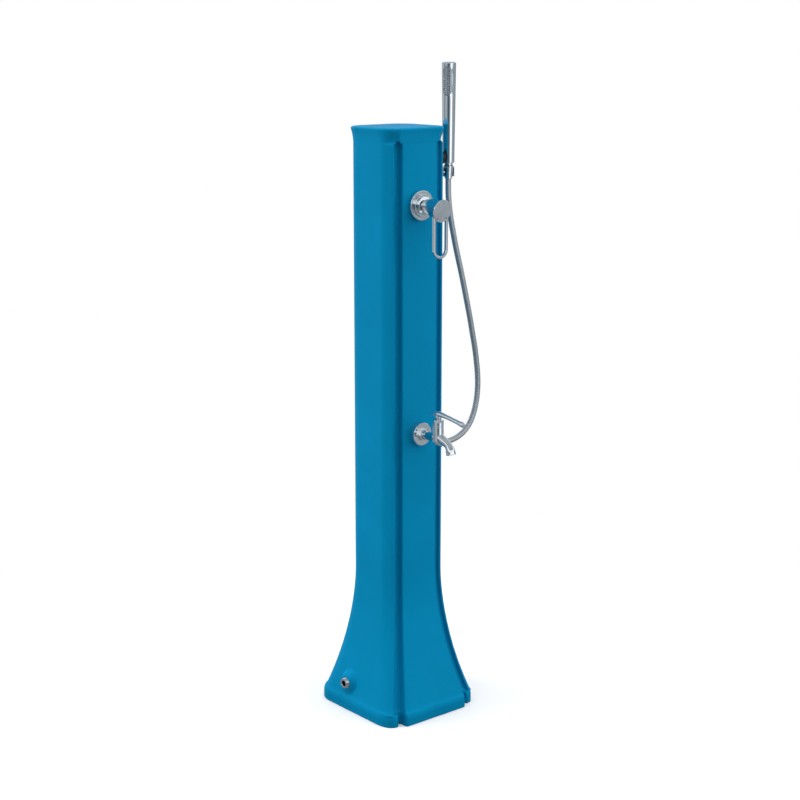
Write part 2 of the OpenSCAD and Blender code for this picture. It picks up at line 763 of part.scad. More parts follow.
module handle_loop() {
    bar = round_rect(loop_t, loop_d, loop_r, 4);
    mid = loop_half - loop_t / 2;
    bend_y = loop_half - loop_drop;
    translate([0, bend_y, loop_out]) rotate([0, 0, 180]) rotate_extrude(angle = 180, $fn = fine)
        translate([mid, 0]) polygon(bar);
    for (side = [-1, 1]) translate([side * mid, -loop_top, loop_out]) rotate([90, 0, 0])
        linear_extrude(height = -loop_top - bend_y) polygon(bar);
}

module handle_disc() color("#a9adb0") at_handle() disc(disc_r, handle_l - disc_t, disc_t);

module dot_hot() color("#c8202a") at_handle() translate([-dot_x, -dot_drop, 0]) disc(dot_r, handle_l, dot_t);

module dot_cold() color("#1f5fbf") at_handle() translate([dot_x, -dot_drop, 0]) disc(dot_r, handle_l, dot_t);

// Foot tap
module at_barrel(low) translate([0, -panel_y - tap_reach, tap_z + low]) children();

function spout_ring(r, sides, place, turn) = [for (i = [0:sides - 1]) let (a = 360 * i / sides) [
    place[0] + r * cos(a) * sin(turn), place[1] + r * cos(a) * cos(turn), r * sin(a)
]];
function spout_bend_place(turn) =
    [spout_straight + spout_bend_r * sin(turn), spout_bend_r * (cos(turn) - 1)];

module spout(r, sides, tip) at_tap_side(tap_z) translate([0, spout_up, 0]) rotate([0, 0, -spout_slope])
    skin(concat(
        [spout_ring(r, sides, [0, 0], 0)],
        [for (i = [0:8]) let (turn = spout_bend * i / 8)
            spout_ring(r, sides, spout_bend_place(turn), turn)],
        [spout_ring(r, sides, spout_bend_place(spout_bend)
            + tip * [cos(spout_bend), -sin(spout_bend)], spout_bend)]
    ));

module at_spout_tip() at_tap_side(tap_z) translate([0, spout_up, 0]) rotate([0, 0, -spout_slope])
    translate([spout_straight, -spout_bend_r, 0]) rotate([0, 0, -spout_bend])
    translate([spout_tip, spout_bend_r, 0]) rotate([0, -90, 0]) children();

module tap_body() color("#d9dcde") difference() {
    union() {
        at_panel(tap_z) {
            disc(half_inch_r, -tail_l, tail_l + tap_flange_t);
            hex(hex_r, tap_flange_t, hex_t);
            disc(tap_neck_r, tap_flange_t, tap_reach - tap_flange_t);
        }
        at_barrel(0) lathe(concat(
            arc([0, -barrel_low], barrel_r, -90, 0, 9),
            [[barrel_r, barrel_high], [0, barrel_high]]
        ));
        spout(spout_r, small, spout_tip);
    }
    at_panel(tap_z) disc(pipe_bore, -tail_l - over, tail_l + tap_reach);
    at_barrel(-barrel_low) disc(barrel_bore, 0, barrel_low + barrel_high + over);
    spout(pipe_bore, hose_sides, spout_tip + over);
    at_spout_tip() disc(aerator_r + run, -over, aerator_t + over);
}

module tap_flange() color("#d9dcde") at_panel(tap_z) lathe(concat(
    [[tap_flange_r - tap_flange_wall, 0], [tap_flange_r, 0]],
    arc([tap_flange_r - 2 * tap_flange_edge, tap_flange_t - tap_flange_edge], tap_flange_edge, 0, 90, 4),
    [[hole_r, tap_flange_t], [hole_r, tap_flange_t - tap_flange_wall],
     [tap_flange_r - 2 * tap_flange_edge - tap_flange_wall / 2, tap_flange_t - tap_flange_wall]]
));

module tap_gasket() color("#2a2a2a") at_panel(tap_z) ring(nut_r, hole_r, -wall - washer_t, washer_t);

module tap_nut() color("#c9a24a") at_panel(tap_z)
    translate([0, 0, -wall - washer_t - nut_t]) nut(half_inch_r);

module tap_headwork() color("#c9a24a") at_barrel(headwork_low) difference() {
    disc(barrel_bore - run, 0, barrel_high - headwork_low);
    disc(spindle_r + run, spindle_low - headwork_low - gap, barrel_high);
}

module tap_bonnet() color("#d9dcde") at_barrel(barrel_high) difference() {
    hex(bonnet_r, 0, bonnet_h);
    disc(spindle_r + gap, -over, bonnet_h + 2 * over);
}

module tap_aerator() color("#b9bcc0") at_spout_tip() difference() {
    disc(aerator_r, 0, aerator_t);
    for (a = [0:60:300]) rotate([0, 0, a]) translate([aerator_r * 0.55, 0, 0])
        disc(aerator_r / 6, -over, aerator_t + 2 * over);
}

module tap_spindle() color("#b9bcc0") at_barrel(0) disc(spindle_r, spindle_low, spindle_high - spindle_low);

module tap_lever() color("#d9dcde") at_barrel(0) difference() {
    union() {
        skin([for (s = lever_shares) [for (a = [0:30:330]) [
            s[2] * lever_half_w * cos(a), -s[0] * tap_lever_l,
            lever_mid + s[1] * lever_rise + s[3] * lever_half_t * sin(a)
        ]]]);
        disc(hub_r, hub_low, lever_mid - hub_low + lever_rise / 4);
    }
    disc(spindle_r + run, 0, spindle_high);
    disc(cap_screw_r + run, lever_mid + lever_rise / 4 + lever_half_t - cap_screw_t, 2 * over);
}

module tap_lever_cap() color("#a9adb0") at_barrel(0)
    disc(cap_screw_r, lever_mid + lever_rise / 4 + lever_half_t - cap_screw_t, cap_screw_t);

// Hose outlet and hose
module outlet_fitting() color("#d9dcde") at_side(shower_y, outlet_z) difference() {
    union() {
        disc(half_inch_r, -tail_l - outlet_seat_t, tail_l + outlet_seat_t);
        disc(outlet_flange_r, 0, outlet_flange_t);
        hex(outlet_hex_r, outlet_flange_t, outlet_hex_t);
        disc(outlet_nip_r, outlet_flange_t, outlet_front - outlet_flange_t);
    }
    disc(pipe_bore, -tail_l - outlet_seat_t - over, tail_l + outlet_seat_t + outlet_front + 2 * over);
}

module outlet_gasket() color("#2a2a2a") at_side(shower_y, outlet_z)
    ring(nut_r, hole_r, -wall - outlet_seat_t - washer_t, washer_t);

module outlet_nut() color("#c9a24a") at_side(shower_y, outlet_z)
    translate([0, 0, -wall - outlet_seat_t - washer_t - nut_t]) nut(half_inch_r);

module hose_nut() color("#d9dcde") at_side(shower_y, outlet_z) lathe([
    [pipe_bore, outlet_front], [hose_nut_r, outlet_front], [hose_nut_r, outlet_front + hose_nut_t * 0.7],
    [hose_nut_r - hose_nut_t / 5, outlet_front + hose_nut_t], [pipe_bore, outlet_front + hose_nut_t]
]);

// The route through its points, smoothed with one more place between each two
hose_last = len(HOSE) - 1;
hose_high = HOSE[0];
hose_low = HOSE[hose_last];
hose_route = [for (p = HOSE) let (t = (p[1] - hose_low[1]) / (hose_high[1] - hose_low[1])) [
    p[0] + mix(side_x + outlet_front + hose_nut_t - hose_low[0], shower_x - hose_high[0], t),
    mix(outlet_z, cone_low, t)
]];
hose_ends = concat([2 * hose_route[0] - hose_route[1]], hose_route,
    [2 * hose_route[hose_last] - hose_route[hose_last - 1]]);
function hose_place(k, t) = let (
        a = hose_ends[k], b = hose_ends[k + 1], c = hose_ends[k + 2], d = hose_ends[k + 3])
    (2 * b + (c - a) * t + (2 * a - 5 * b + 4 * c - d) * t * t + (3 * b - 3 * c + d - a) * t * t * t) / 2;
hose_line = concat([for (k = [0:hose_last - 1]) for (t = [0, 1 / 2]) hose_place(k, t)],
    [hose_route[hose_last]]);

module shower_hose() color("#c9cccf") {
    m = len(hose_line) - 1;
    skin([for (k = [0:m])
        let (way = k == 0 ? [0, -1] : k == m ? [-1, 0] : hose_line[k + 1] - hose_line[k - 1],
            to = way / norm(way))
        [for (i = [0:hose_sides - 1]) let (a = 360 * i / hose_sides) [
            hose_line[k][0] + hose_dia / 2 * cos(a) * to[1],
            -shower_y + hose_dia / 2 * sin(a),
            hose_line[k][1] - hose_dia / 2 * cos(a) * to[0]
        ]]]);
}

// Holder
module holder_screw_place() for (side = [-1, 1])
    at_side(shower_y + side * bracket_screw_y, bracket_screw_z) children();

module holder_bracket() color("#1e1f21") difference() {
    at_side(shower_y, 0) {
        translate([0, bracket_low + bracket_h / 2, 0]) linear_extrude(height = bracket_t)
            polygon(round_rect(bracket_w, bracket_h, bracket_w / 4, 6));
        translate([0, bracket_boss_z, 0]) disc(bracket_boss_r, bracket_t, bracket_boss_out - bracket_t);
    }
    holder_screw_place() {
        disc(bracket_screw_r + gap, -over, bracket_t + 2 * over);
        disc(bracket_head_r + gap, bracket_t - bracket_head_t, bracket_head_t + over);
    }
    at_side(shower_y, cup_z) disc(arm_r + run, bracket_t - arm_in, arm_in + over);
}

module holder_screw_set() color("#b9bcc0") holder_screw_place() {
    disc(bracket_screw_r, gap - bracket_screw_in, bracket_t - bracket_head_t + bracket_screw_in - gap);
    disc(bracket_head_r, bracket_t - bracket_head_t, bracket_head_t);
}

module holder_cup() color("#d9dcde") difference() {
    union() {
        at_shower(cup_top - cup_h) disc(cone_top_r + cup_slack + cup_wall, 0, cup_h);
        at_side(shower_y, cup_z) disc(arm_r, bracket_t - arm_in,
            shower_x - side_x - bracket_t + arm_in - cone_top_r - cup_slack - cup_wall / 2);
    }
    at_shower(0) {
        cone(cup_slack);
        translate([-cup_slot / 2, -2 * stick_foot_r, cup_top - cup_h - over])
            cube([cup_slot, 2 * stick_foot_r, cup_h + 2 * over]);
    }
}

// Hand shower
module cone(extra) translate([0, 0, cone_low]) cylinder(
    h = cone_l - cone_collar_l, r1 = cone_low_r + extra, r2 = cone_top_r + extra, $fn = fine);

module hose_cone_nut() color("#d9dcde") at_shower(0) difference() {
    union() {
        cone(0);
        disc(cone_collar_r, cup_top, cone_collar_l);
    }
    disc(pipe_bore, cone_low - over, cone_l + 2 * over);
}

module stick_washer() color("#2a2a2a") at_shower(cone_top) ring(stick_neck_r, pipe_bore, 0, cone_gap);

module stick_outer() lathe(concat(
    [[0, -stick_neck_l], [stick_neck_r, -stick_neck_l], [stick_neck_r, 0]],
    arc([stick_foot_r - stick_edge / 2, stick_edge / 2], stick_edge / 2, -90, 0, 4),
    arc([stick_top_r - stick_edge, stick_l - stick_edge], stick_edge, 0, 90, 6),
    [[0, stick_l]]
));

module stick_inner() lathe([
    [0, stick_low], [stick_foot_r - stick_wall, stick_low],
    [stick_top_r - stick_wall, stick_l - 2 * stick_wall], [0, stick_l - 2 * stick_wall]
]);

module nozzle_window(side) rotate([0, 0, -90 - nozzle_turn]) rotate([90, 0, 90])
    linear_extrude(height = stick_top_r * 2) {
        w = plate_w - 2 * side;
        for (z = [plate_low, plate_top - plate_w]) translate([0, z + plate_w / 2]) circle(d = w, $fn = fine);
        translate([-w / 2, plate_low + plate_w / 2]) square([w, plate_top - plate_low - plate_w]);
    }

module shower_stick() color("#d9dcde") at_shower(stick_z) difference() {
    stick_outer();
    stick_inner();
    disc(pipe_bore, -stick_neck_l - over, stick_neck_l + stick_low + 2 * over);
    nozzle_window(0);
}

module nozzle_plate() color("#9a9ea3") at_shower(stick_z) {
    intersection() {
        difference() {
            stick_outer();
            stick_inner();
        }
        nozzle_window(run);
    }
    for (row = [0:nozzle_rows - 1]) for (col = [0:nozzle_cols - 1]) {
        z = plate_low + plate_w / 8 + plate_pitch * (row + 1 / 2);
        r = mix(stick_foot_r, stick_top_r, z / stick_l);
        rotate([0, 0, -90 - nozzle_turn + nozzle_step * (col - (nozzle_cols - 1) / 2)])
            translate([r - stick_wall / 2, 0, z]) rotate([0, 90, 0])
            cylinder(h = stick_wall / 2 + nozzle_out, r = nozzle_r, $fn = 8);
    }
}

column_shell();
base_gasket();
base_cover();
cover_screws_set();
inlet_nipple();
inlet_gasket();
inlet_nut();
feed_pipe();
feed_tee();
fill_valve();
cold_riser();
tap_tee();
cold_upper_pipe();
tap_branch();
warm_pickup();
mixed_pipe();
mixer_block();
mixer_gasket();
mixer_nut();
mixer_flange();
mixer_cartridge();
mixer_bonnet();
mixer_sleeve();
mixer_pin();
mixer_stem();
mixer_handle();
handle_disc();
dot_hot();
dot_cold();
tap_body();
tap_flange();
tap_gasket();
tap_nut();
tap_headwork();
tap_bonnet();
tap_aerator();
tap_spindle();
tap_lever();
tap_lever_cap();
outlet_fitting();
outlet_gasket();
outlet_nut();
hose_nut();
shower_hose();
holder_bracket();
holder_screw_set();
holder_cup();
hose_cone_nut();
stick_washer();
shower_stick();
nozzle_plate();
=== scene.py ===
"""Looks of the outdoor shower post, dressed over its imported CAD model.

Units are metres. Z is up, the fittings face -Y, and the hand shower hangs on +X.
"""

import json
import math

import bmesh
import bpy
from mathutils import Matrix, Vector


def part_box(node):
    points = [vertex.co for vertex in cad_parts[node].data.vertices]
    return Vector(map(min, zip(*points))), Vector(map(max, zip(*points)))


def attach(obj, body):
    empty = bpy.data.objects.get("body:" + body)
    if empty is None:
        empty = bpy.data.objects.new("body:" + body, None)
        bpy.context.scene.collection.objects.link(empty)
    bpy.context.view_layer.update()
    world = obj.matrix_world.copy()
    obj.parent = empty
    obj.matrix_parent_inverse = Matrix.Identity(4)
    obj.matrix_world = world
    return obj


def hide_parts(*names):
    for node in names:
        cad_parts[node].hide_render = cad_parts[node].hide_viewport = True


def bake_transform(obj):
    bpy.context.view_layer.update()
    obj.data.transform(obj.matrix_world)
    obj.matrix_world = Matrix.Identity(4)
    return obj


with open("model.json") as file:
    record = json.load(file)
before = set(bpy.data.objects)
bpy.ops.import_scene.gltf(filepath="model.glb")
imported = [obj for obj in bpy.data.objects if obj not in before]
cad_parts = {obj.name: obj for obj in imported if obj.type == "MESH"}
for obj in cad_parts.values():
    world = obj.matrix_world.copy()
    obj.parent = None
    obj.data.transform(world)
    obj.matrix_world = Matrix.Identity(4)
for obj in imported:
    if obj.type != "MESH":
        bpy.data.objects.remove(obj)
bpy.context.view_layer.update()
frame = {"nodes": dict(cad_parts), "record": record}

# Camera

CAMERA_PLACE = Vector((-2.0716, -2.4949, 1.3799))
CAMERA_TURN = math.radians(39.81)  # to the right of +Y
CAMERA_PITCH = math.radians(12.71)  # below the horizon
CAMERA_LENS, CAMERA_SENSOR = 73.46, 36  # millimetres
CAMERA_FAR = 200


def make_camera():
    data = bpy.data.cameras.new("camera")
    data.lens, data.sensor_width, data.clip_end = CAMERA_LENS, CAMERA_SENSOR, CAMERA_FAR
    data.dof.use_dof = False
    camera = bpy.data.objects.new("camera", data)
    camera.location = CAMERA_PLACE
    camera.rotation_euler = (math.pi / 2 - CAMERA_PITCH, 0, -CAMERA_TURN)
    bpy.context.scene.collection.objects.link(camera)
    bpy.context.scene.camera = camera


make_camera()

# Mesh helpers

FINE_SIDES = 96  # of a turned piece
CORNER_STEPS = 4
CORNER_REACH_SHARE = 0.45  # of a short side, which the round of a corner may take
MERGE_DISTANCE = 1e-7


def mix(a, b, t):
    return a + (b - a) * t


def between(low, high, count):
    """Count + 1 even values from low to high."""
    return [mix(low, high, i / count) for i in range(count + 1)]


def clamp01(t):
    return max(0.0, min(1.0, t))


def ease(t):
    """A soft step from 0 to 1."""
    t = clamp01(t)
    return t * t * (3 - 2 * t)


def around(sides):
    return [2 * math.pi * i / sides for i in range(sides)]


def bend(start, corner, end, t):
    """A place on the curve that leaves start towards corner and comes from there to end."""
    return start.lerp(corner, t).lerp(corner.lerp(end, t), t)


def smooth_path(points, steps):
    """A Catmull-Rom line through the points, with that many steps between each two."""
    ends = [2 * points[0] - points[1], *points, 2 * points[-1] - points[-2]]
    line = []
    for k in range(len(points) - 1):
        a, b, c, d = ends[k : k + 4]
        slope, curve, twist = c - a, 2 * a - 5 * b + 4 * c - d, 3 * b - 3 * c + d - a
        line += [(2 * b + slope * t + curve * t**2 + twist * t**3) / 2 for t in between(0, 1, steps)[:-1]]
    return [*line, points[-1]]


def skin(rings, closed=True):
    """Vertices and faces of a skin through rings of equal count, with flat ends if closed."""
    count = len(rings[0])
    verts = [p for ring in rings for p in ring]
    faces = [
        (low + i, low + (i + 1) % count, low + count + (i + 1) % count, low + count + i)
        for low in range(0, len(verts) - count, count)
        for i in range(count)
    ]
    if closed:
        faces.append(tuple(reversed(range(count))))
        faces.append(tuple(range(len(verts) - count, len(verts))))
    return verts, faces


def joined(*parts):
    """Several (vertices, faces) as one."""
    verts, faces = [], []
    for more_verts, more_faces in parts:
        start = len(verts)
        verts += more_verts
        faces += [tuple(i + start for i in face) for face in more_faces]
    return verts, faces


def circle(place, radius, height, sides=FINE_SIDES):
    """A ring round the Z of its frame, at that height along it."""
    return [place @ Vector((radius * math.cos(a), radius * math.sin(a), height)) for a in around(sides)]


def lathe(place, profile, sides=FINE_SIDES):
    """A turned solid. place is its frame, and profile lists (radius, height along its Z)."""
    return skin([circle(place, radius, height, sides) for radius, height in profile])


def looking(origin, way, up=(0, 0, 1)):
    """A frame at origin whose Z goes along way and whose Y is as near to up as it can be."""
    z = Vector(way).normalized()
    x = Vector(up).cross(z).normalized()
    y = z.cross(x)
    turn = Matrix((x, y, z)).transposed().to_4x4()
    return Matrix.Translation(Vector(origin)) @ turn


def round_profile(corners, radius):
    """A profile whose inner corners are rounded: each is replaced by a short curve."""
    corners = [Vector(corner) for corner in corners]
    line = [corners[0]]
    for before, corner, after in zip(corners, corners[1:], corners[2:]):
        shorter = min((corner - before).length, (after - corner).length)
        reach = min(radius, shorter * CORNER_REACH_SHARE)
        start = corner + (before - corner).normalized() * reach
        end = corner + (after - corner).normalized() * reach
        line += [bend(start, corner, end, t) for t in between(0, 1, CORNER_STEPS)]
    return [(p.x, p.y) for p in [*line, corners[-1]]]


def new_object(name, shape):
    """An object from (vertices, faces), with its faces turned outwards."""
    mesh = bpy.data.meshes.new(name)
    verts, faces = shape
    mesh.from_pydata([tuple(v) for v in verts], [], faces)
    cleaned = bmesh.new()
    cleaned.from_mesh(mesh)
    bmesh.ops.remove_doubles(cleaned, verts=cleaned.verts, dist=MERGE_DISTANCE)
    bmesh.ops.recalc_face_normals(cleaned, faces=cleaned.faces)
    cleaned.to_mesh(mesh)
    cleaned.free()
    piece = bpy.data.objects.new(name, mesh)
    bpy.context.scene.collection.objects.link(piece)
    return piece


def shade(piece, sharp_from):
    """Smooth, with sharp edges where faces meet at that many degrees or more."""
    piece.data.shade_smooth()
    piece.data.set_sharp_from_angle(angle=math.radians(sharp_from))


def dress(piece, finish, body=None, stands_for=()):
    """Gives a new piece its finish and body, and hides the CAD nodes that it stands for."""
    piece.data.materials.clear()
    piece.data.materials.append(finish)
    if stands_for:
        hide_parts(*stands_for)
    if body:
        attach(piece, body)


# Hose

HOSE_D = 0.012
SHOWER_Y = -0.024
# Its middle as (x, z), from the cone nut down to the outlet
HOSE_ROUTE = [
    (0.114, 1.093), (0.114, 1.078), (0.1145, 1.062), (0.116, 1.045), (0.119, 1.024),
    (0.124, 1.000), (0.130, 0.975), (0.137, 0.948), (0.145, 0.920), (0.153, 0.892),
    (0.161, 0.862), (0.169, 0.831), (0.177, 0.799), (0.184, 0.768), (0.191, 0.737),
    (0.196, 0.707), (0.1995, 0.678), (0.200, 0.650), (0.1965, 0.622), (0.189, 0.597),
    (0.178, 0.577), (0.163, 0.5625), (0.146, 0.5535), (0.128, 0.549), (0.112, 0.5475),
    (0.098, 0.547),
]
ROUTE_STEPS = 12
RIB_PITCH, RIB_DEPTH = 0.0032, 0.0003
RINGS_PER_RIB, HOSE_SIDES = 6, 28


def resampled(line, step):
    """The line's points at about that step along it, and its length."""
    lengths = [0.0]
    for a, b in zip(line, line[1:]):
        lengths.append(lengths[-1] + (b - a).length)
    count = round(lengths[-1] / step)
    found, k = [], 0
    for i in range(count + 1):
        want = lengths[-1] * i / count
        while k < len(line) - 2 and lengths[k + 1] < want:
            k += 1
        t = (want - lengths[k]) / (lengths[k + 1] - lengths[k])
        found.append(line[k].lerp(line[k + 1], clamp01(t)))
    return found, lengths[-1]


def make_hose():
    """The hose along its route, with a shallow groove between its ribs."""
    route = [Vector((x, SHOWER_Y, z)) for x, z in HOSE_ROUTE]
    line, length = resampled(smooth_path(route, ROUTE_STEPS), RIB_PITCH / RINGS_PER_RIB)
    across = Vector((0, 1, 0))
    rings = []
    for i, place in enumerate(line):
        way = (line[min(i + 1, len(line) - 1)] - line[max(i - 1, 0)]).normalized()
        out = way.cross(across).normalized()
        groove = (1 + math.cos(2 * math.pi * i / RINGS_PER_RIB)) / 2
        r = HOSE_D / 2 - RIB_DEPTH * groove**2
        rings.append([place + r * (math.cos(a) * out + math.sin(a) * across) for a in around(HOSE_SIDES)])
    hose = new_object("hose_tube", skin(rings))
    shade(hose, sharp_from=60)
    return hose, route


hose, hose_route = make_hose()

# Materials

BEVEL_SAMPLES = 4
# Scales of the noises, in waves for each metre
PLASTIC_CLOUD, PLASTIC_WAVE, PLASTIC_SMEAR, PLASTIC_GRAIN, HOSE_GRAIN = 7.0, 26.0, 60.0, 900.0, 500.0
METAL_TARNISH, METAL_SMEAR, METAL_MARKS = 38.0, 110.0, 420.0
RUBBER_CLOUD, RUBBER_SMEAR, RUBBER_GRAIN = 90.0, 200.0, 1400.0
ENAMEL_CLOUD, ENAMEL_SMEAR = 500.0, 700.0
FLOOR_CLOUD = 1.5
SPECKLE_SHARE, SPECKLE_AMOUNT = 0.7, 0.35
PLASTIC_GLOSSIER, PLASTIC_DULLER = 0.05, 0.07
RUBBER_ROUGHNESS, ENAMEL_ROUGHNESS = (0.6, 0.8), (0.25, 0.4)


def add_node(tree, kind, inputs=(), **settings):
    """Adds a node with those settings. inputs gives each input's value, or the socket to link it to."""
    node = tree.nodes.new(kind)
    for name, value in settings.items():
        setattr(node, name, value)
    for name, value in dict(inputs).items():
        put(tree, value, node.inputs[name])
    return node


def put(tree, value, socket):
    """Sets a socket to a value, or links it to another node's socket."""
    if isinstance(value, bpy.types.NodeSocket):
        tree.links.new(value, socket)
    else:
        socket.default_value = value


def mixed_colours(tree, share, a, b):
    """A colour between a and b, each of them a value or a socket."""
    node = add_node(tree, "ShaderNodeMix", {"Factor": share}, data_type="RGBA")
    first, second = [socket for socket in node.inputs if socket.type == "RGBA"]
    put(tree, a, first)
    put(tree, b, second)
    return next(socket for socket in node.outputs if socket.type == "RGBA")


class Finish:
    """A material made of nodes around one Principled shader."""

    def __init__(self, name, metallic=0.0, specular=0.5):
        self.material = bpy.data.materials.new(name)
        self.material.use_nodes = True
        self.tree = self.material.node_tree
        self.shader = self.tree.nodes["Principled BSDF"]
        self.shader.inputs["Metallic"].default_value = metallic
        self.shader.inputs["Specular IOR Level"].default_value = specular
        self.places = add_node(self.tree, "ShaderNodeTexCoord").outputs["Object"]

    def noise(self, scale, detail=2.0, roughness=0.5):
        """A noise from 0 to 1 in the piece's own space."""
        inputs = {"Vector": self.places, "Scale": scale, "Detail": detail, "Roughness": roughness}
        return add_node(self.tree, "ShaderNodeTexNoise", inputs).outputs["Fac"]

    def spread(self, value, low, high, from_low=0.3, from_high=0.7):
        """Maps a noise, most of which lies from 0.3 to 0.7, to the range from low to high."""
        inputs = {"Value": value, "From Min": from_low, "From Max": from_high, "To Min": low, "To Max": high}
        return add_node(self.tree, "ShaderNodeMapRange", inputs).outputs["Result"]

    def colours(self, share, light, dark):
        """A colour between two, which are given as their sRGB numbers."""
        return mixed_colours(self.tree, share, colour(*light), colour(*dark))

    def bump(self, height, strength, distance, normal):
        inputs = {"Height": height, "Strength": strength, "Distance": distance, "Normal": normal}
        return add_node(self.tree, "ShaderNodeBump", inputs).outputs["Normal"]

    def soft_edges(self, radius):
        bevel = add_node(self.tree, "ShaderNodeBevel", {"Radius": radius}, samples=BEVEL_SAMPLES)
        return bevel.outputs["Normal"]

    def done(self, base, roughness, normal=None):
        put(self.tree, base, self.shader.inputs["Base Color"])
        put(self.tree, roughness, self.shader.inputs["Roughness"])
        if normal:
            put(self.tree, normal, self.shader.inputs["Normal"])
        return self.material


def colour(red, green, blue):
    """A linear colour from its sRGB numbers, 0 to 255."""
    linear = [((c / 255 + 0.055) / 1.055) ** 2.4 if c > 10 else c / 255 / 12.92 for c in (red, green, blue)]
    return (*linear, 1.0)


def moulded_plastic(name, light, dark, roughness, specular, grain=PLASTIC_GRAIN, metallic=0.0):
    """Satin plastic from a mould: a fine grain over faint waves, and slightly cloudy colour."""
    finish = Finish(name, metallic=metallic, specular=specular)
    cloud = finish.spread(finish.noise(PLASTIC_CLOUD, detail=3.0), 0.0, 1.0)
    speckle = finish.spread(finish.noise(grain * SPECKLE_SHARE, detail=1.0), 0.0, SPECKLE_AMOUNT)
    both = add_node(finish.tree, "ShaderNodeMath", {0: cloud, 1: speckle}, operation="ADD").outputs[0]
    rounded = finish.soft_edges(radius=0.0008)
    waves = finish.bump(finish.noise(PLASTIC_WAVE), strength=0.12, distance=0.0016, normal=rounded)
    grained = finish.bump(finish.noise(grain, roughness=0.6), strength=0.14, distance=0.0003, normal=waves)
    glossiest, dullest = roughness - PLASTIC_GLOSSIER, roughness + PLASTIC_DULLER
    smeared = finish.spread(finish.noise(PLASTIC_SMEAR, detail=3.0), glossiest, dullest)
    return finish.done(finish.colours(both, light, dark), smeared, grained)


def plated_metal(name, light, dark, smoothest, roughest, edge=0.0005):
    """Plated or turned metal: mild tarnish, smears in its gloss and fine tool marks."""
    finish = Finish(name, metallic=1.0)
    tarnish = finish.spread(finish.noise(METAL_TARNISH, detail=3.0), 0.0, 1.0)
    smeared = finish.spread(finish.noise(METAL_SMEAR, detail=4.0, roughness=0.6), smoothest, roughest)
    scratches = finish.noise(METAL_MARKS, detail=3.0, roughness=0.65)
    marked = finish.bump(scratches, strength=0.02, distance=0.0002, normal=finish.soft_edges(edge))
    return finish.done(finish.colours(tarnish, light, dark), smeared, marked)


def soft_rubber(name, light, dark):
    """Rubber with a fine matt grain."""
    finish = Finish(name, specular=0.3)
    base = finish.colours(finish.noise(RUBBER_CLOUD, detail=4.0), light, dark)
    grains = finish.noise(RUBBER_GRAIN, detail=3.0)
    grained = finish.bump(grains, strength=0.3, distance=0.0002, normal=finish.soft_edges(radius=0.0003))
    return finish.done(base, finish.spread(finish.noise(RUBBER_SMEAR), *RUBBER_ROUGHNESS), grained)


def enamel(name, light, dark):
    """A glossy painted mark."""
    finish = Finish(name, specular=0.4)
    base = finish.colours(finish.noise(ENAMEL_CLOUD), light, dark)
    smeared = finish.spread(finish.noise(ENAMEL_SMEAR), *ENAMEL_ROUGHNESS)
    return finish.done(base, smeared, finish.soft_edges(radius=0.0002))


BLUE = moulded_plastic("blue_plastic", (0, 138, 186), (0, 132, 178), roughness=0.5, specular=0.05)
BLACK = moulded_plastic("black_plastic", (30, 31, 33), (21, 22, 24), roughness=0.42, specular=0.4)
WHITE = moulded_plastic("white_plastic", (228, 224, 212), (218, 212, 198), roughness=0.4, specular=0.4)
HOSE = moulded_plastic(
    "hose_plastic",
    (186, 191, 196),
    (168, 174, 180),
    roughness=0.24,
    specular=0.5,
    grain=HOSE_GRAIN,
    metallic=0.6,
)
CHROME = plated_metal("chrome", (226, 230, 233), (216, 221, 225), smoothest=0.04, roughest=0.09)
DULL_CHROME = plated_metal("dull_chrome", (176, 183, 190), (156, 164, 172), smoothest=0.2, roughest=0.3)
CAP_CHROME = plated_metal("cap_chrome", (228, 232, 235), (218, 223, 227), smoothest=0.14, roughest=0.18)
BRUSHED = plated_metal("brushed_chrome", (236, 239, 241), (226, 230, 233), smoothest=0.26, roughest=0.34)
STEEL = plated_metal("steel", (196, 198, 200), (176, 178, 181), smoothest=0.2, roughest=0.34, edge=0.0003)
SATIN = plated_metal(
    "satin_metal", (214, 217, 220), (200, 204, 208), smoothest=0.34, roughest=0.46, edge=0.0003
)
BRASS = plated_metal("brass", (208, 172, 92), (186, 148, 74), smoothest=0.22, roughest=0.4)
COPPER = plated_metal("copper", (200, 128, 84), (168, 98, 62), smoothest=0.25, roughest=0.45)
RUBBER = soft_rubber("rubber", (40, 40, 41), (30, 30, 31))
NOZZLE_RUBBER = soft_rubber("nozzle_rubber", (208, 212, 216), (188, 192, 197))
RED_MARK = enamel("red_mark", (196, 34, 42), (176, 24, 34))
BLUE_MARK = enamel("blue_mark", (30, 60, 120), (22, 46, 100))

FINISH_OF_SLOT = {
    "blue_plastic": BLUE,
    "black_plastic": BLACK,
    "white_plastic": WHITE,
    "hose_plastic": HOSE,
    "chrome": CHROME,
    "steel": STEEL,
    "satin_metal": SATIN,
    "brass": BRASS,
    "copper": COPPER,
    "rubber": RUBBER,
    "nozzle_rubber": NOZZLE_RUBBER,
    "red_mark": RED_MARK,
    "blue_mark": BLUE_MARK,
}


def dress_cad_nodes():
    """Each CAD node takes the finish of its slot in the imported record."""
    for entry in frame["record"]["subparts"]:
        node = frame["nodes"][entry["node"]]
        node.data.materials.clear()
        node.data.materials.append(FINISH_OF_SLOT[entry["material_slot"]])


dress_cad_nodes()
frame["nodes"]["mixer_handle"].data.materials[0] = CAP_CHROME
dress(hose, HOSE, stands_for=["shower_hose"])
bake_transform(hose)

# Column

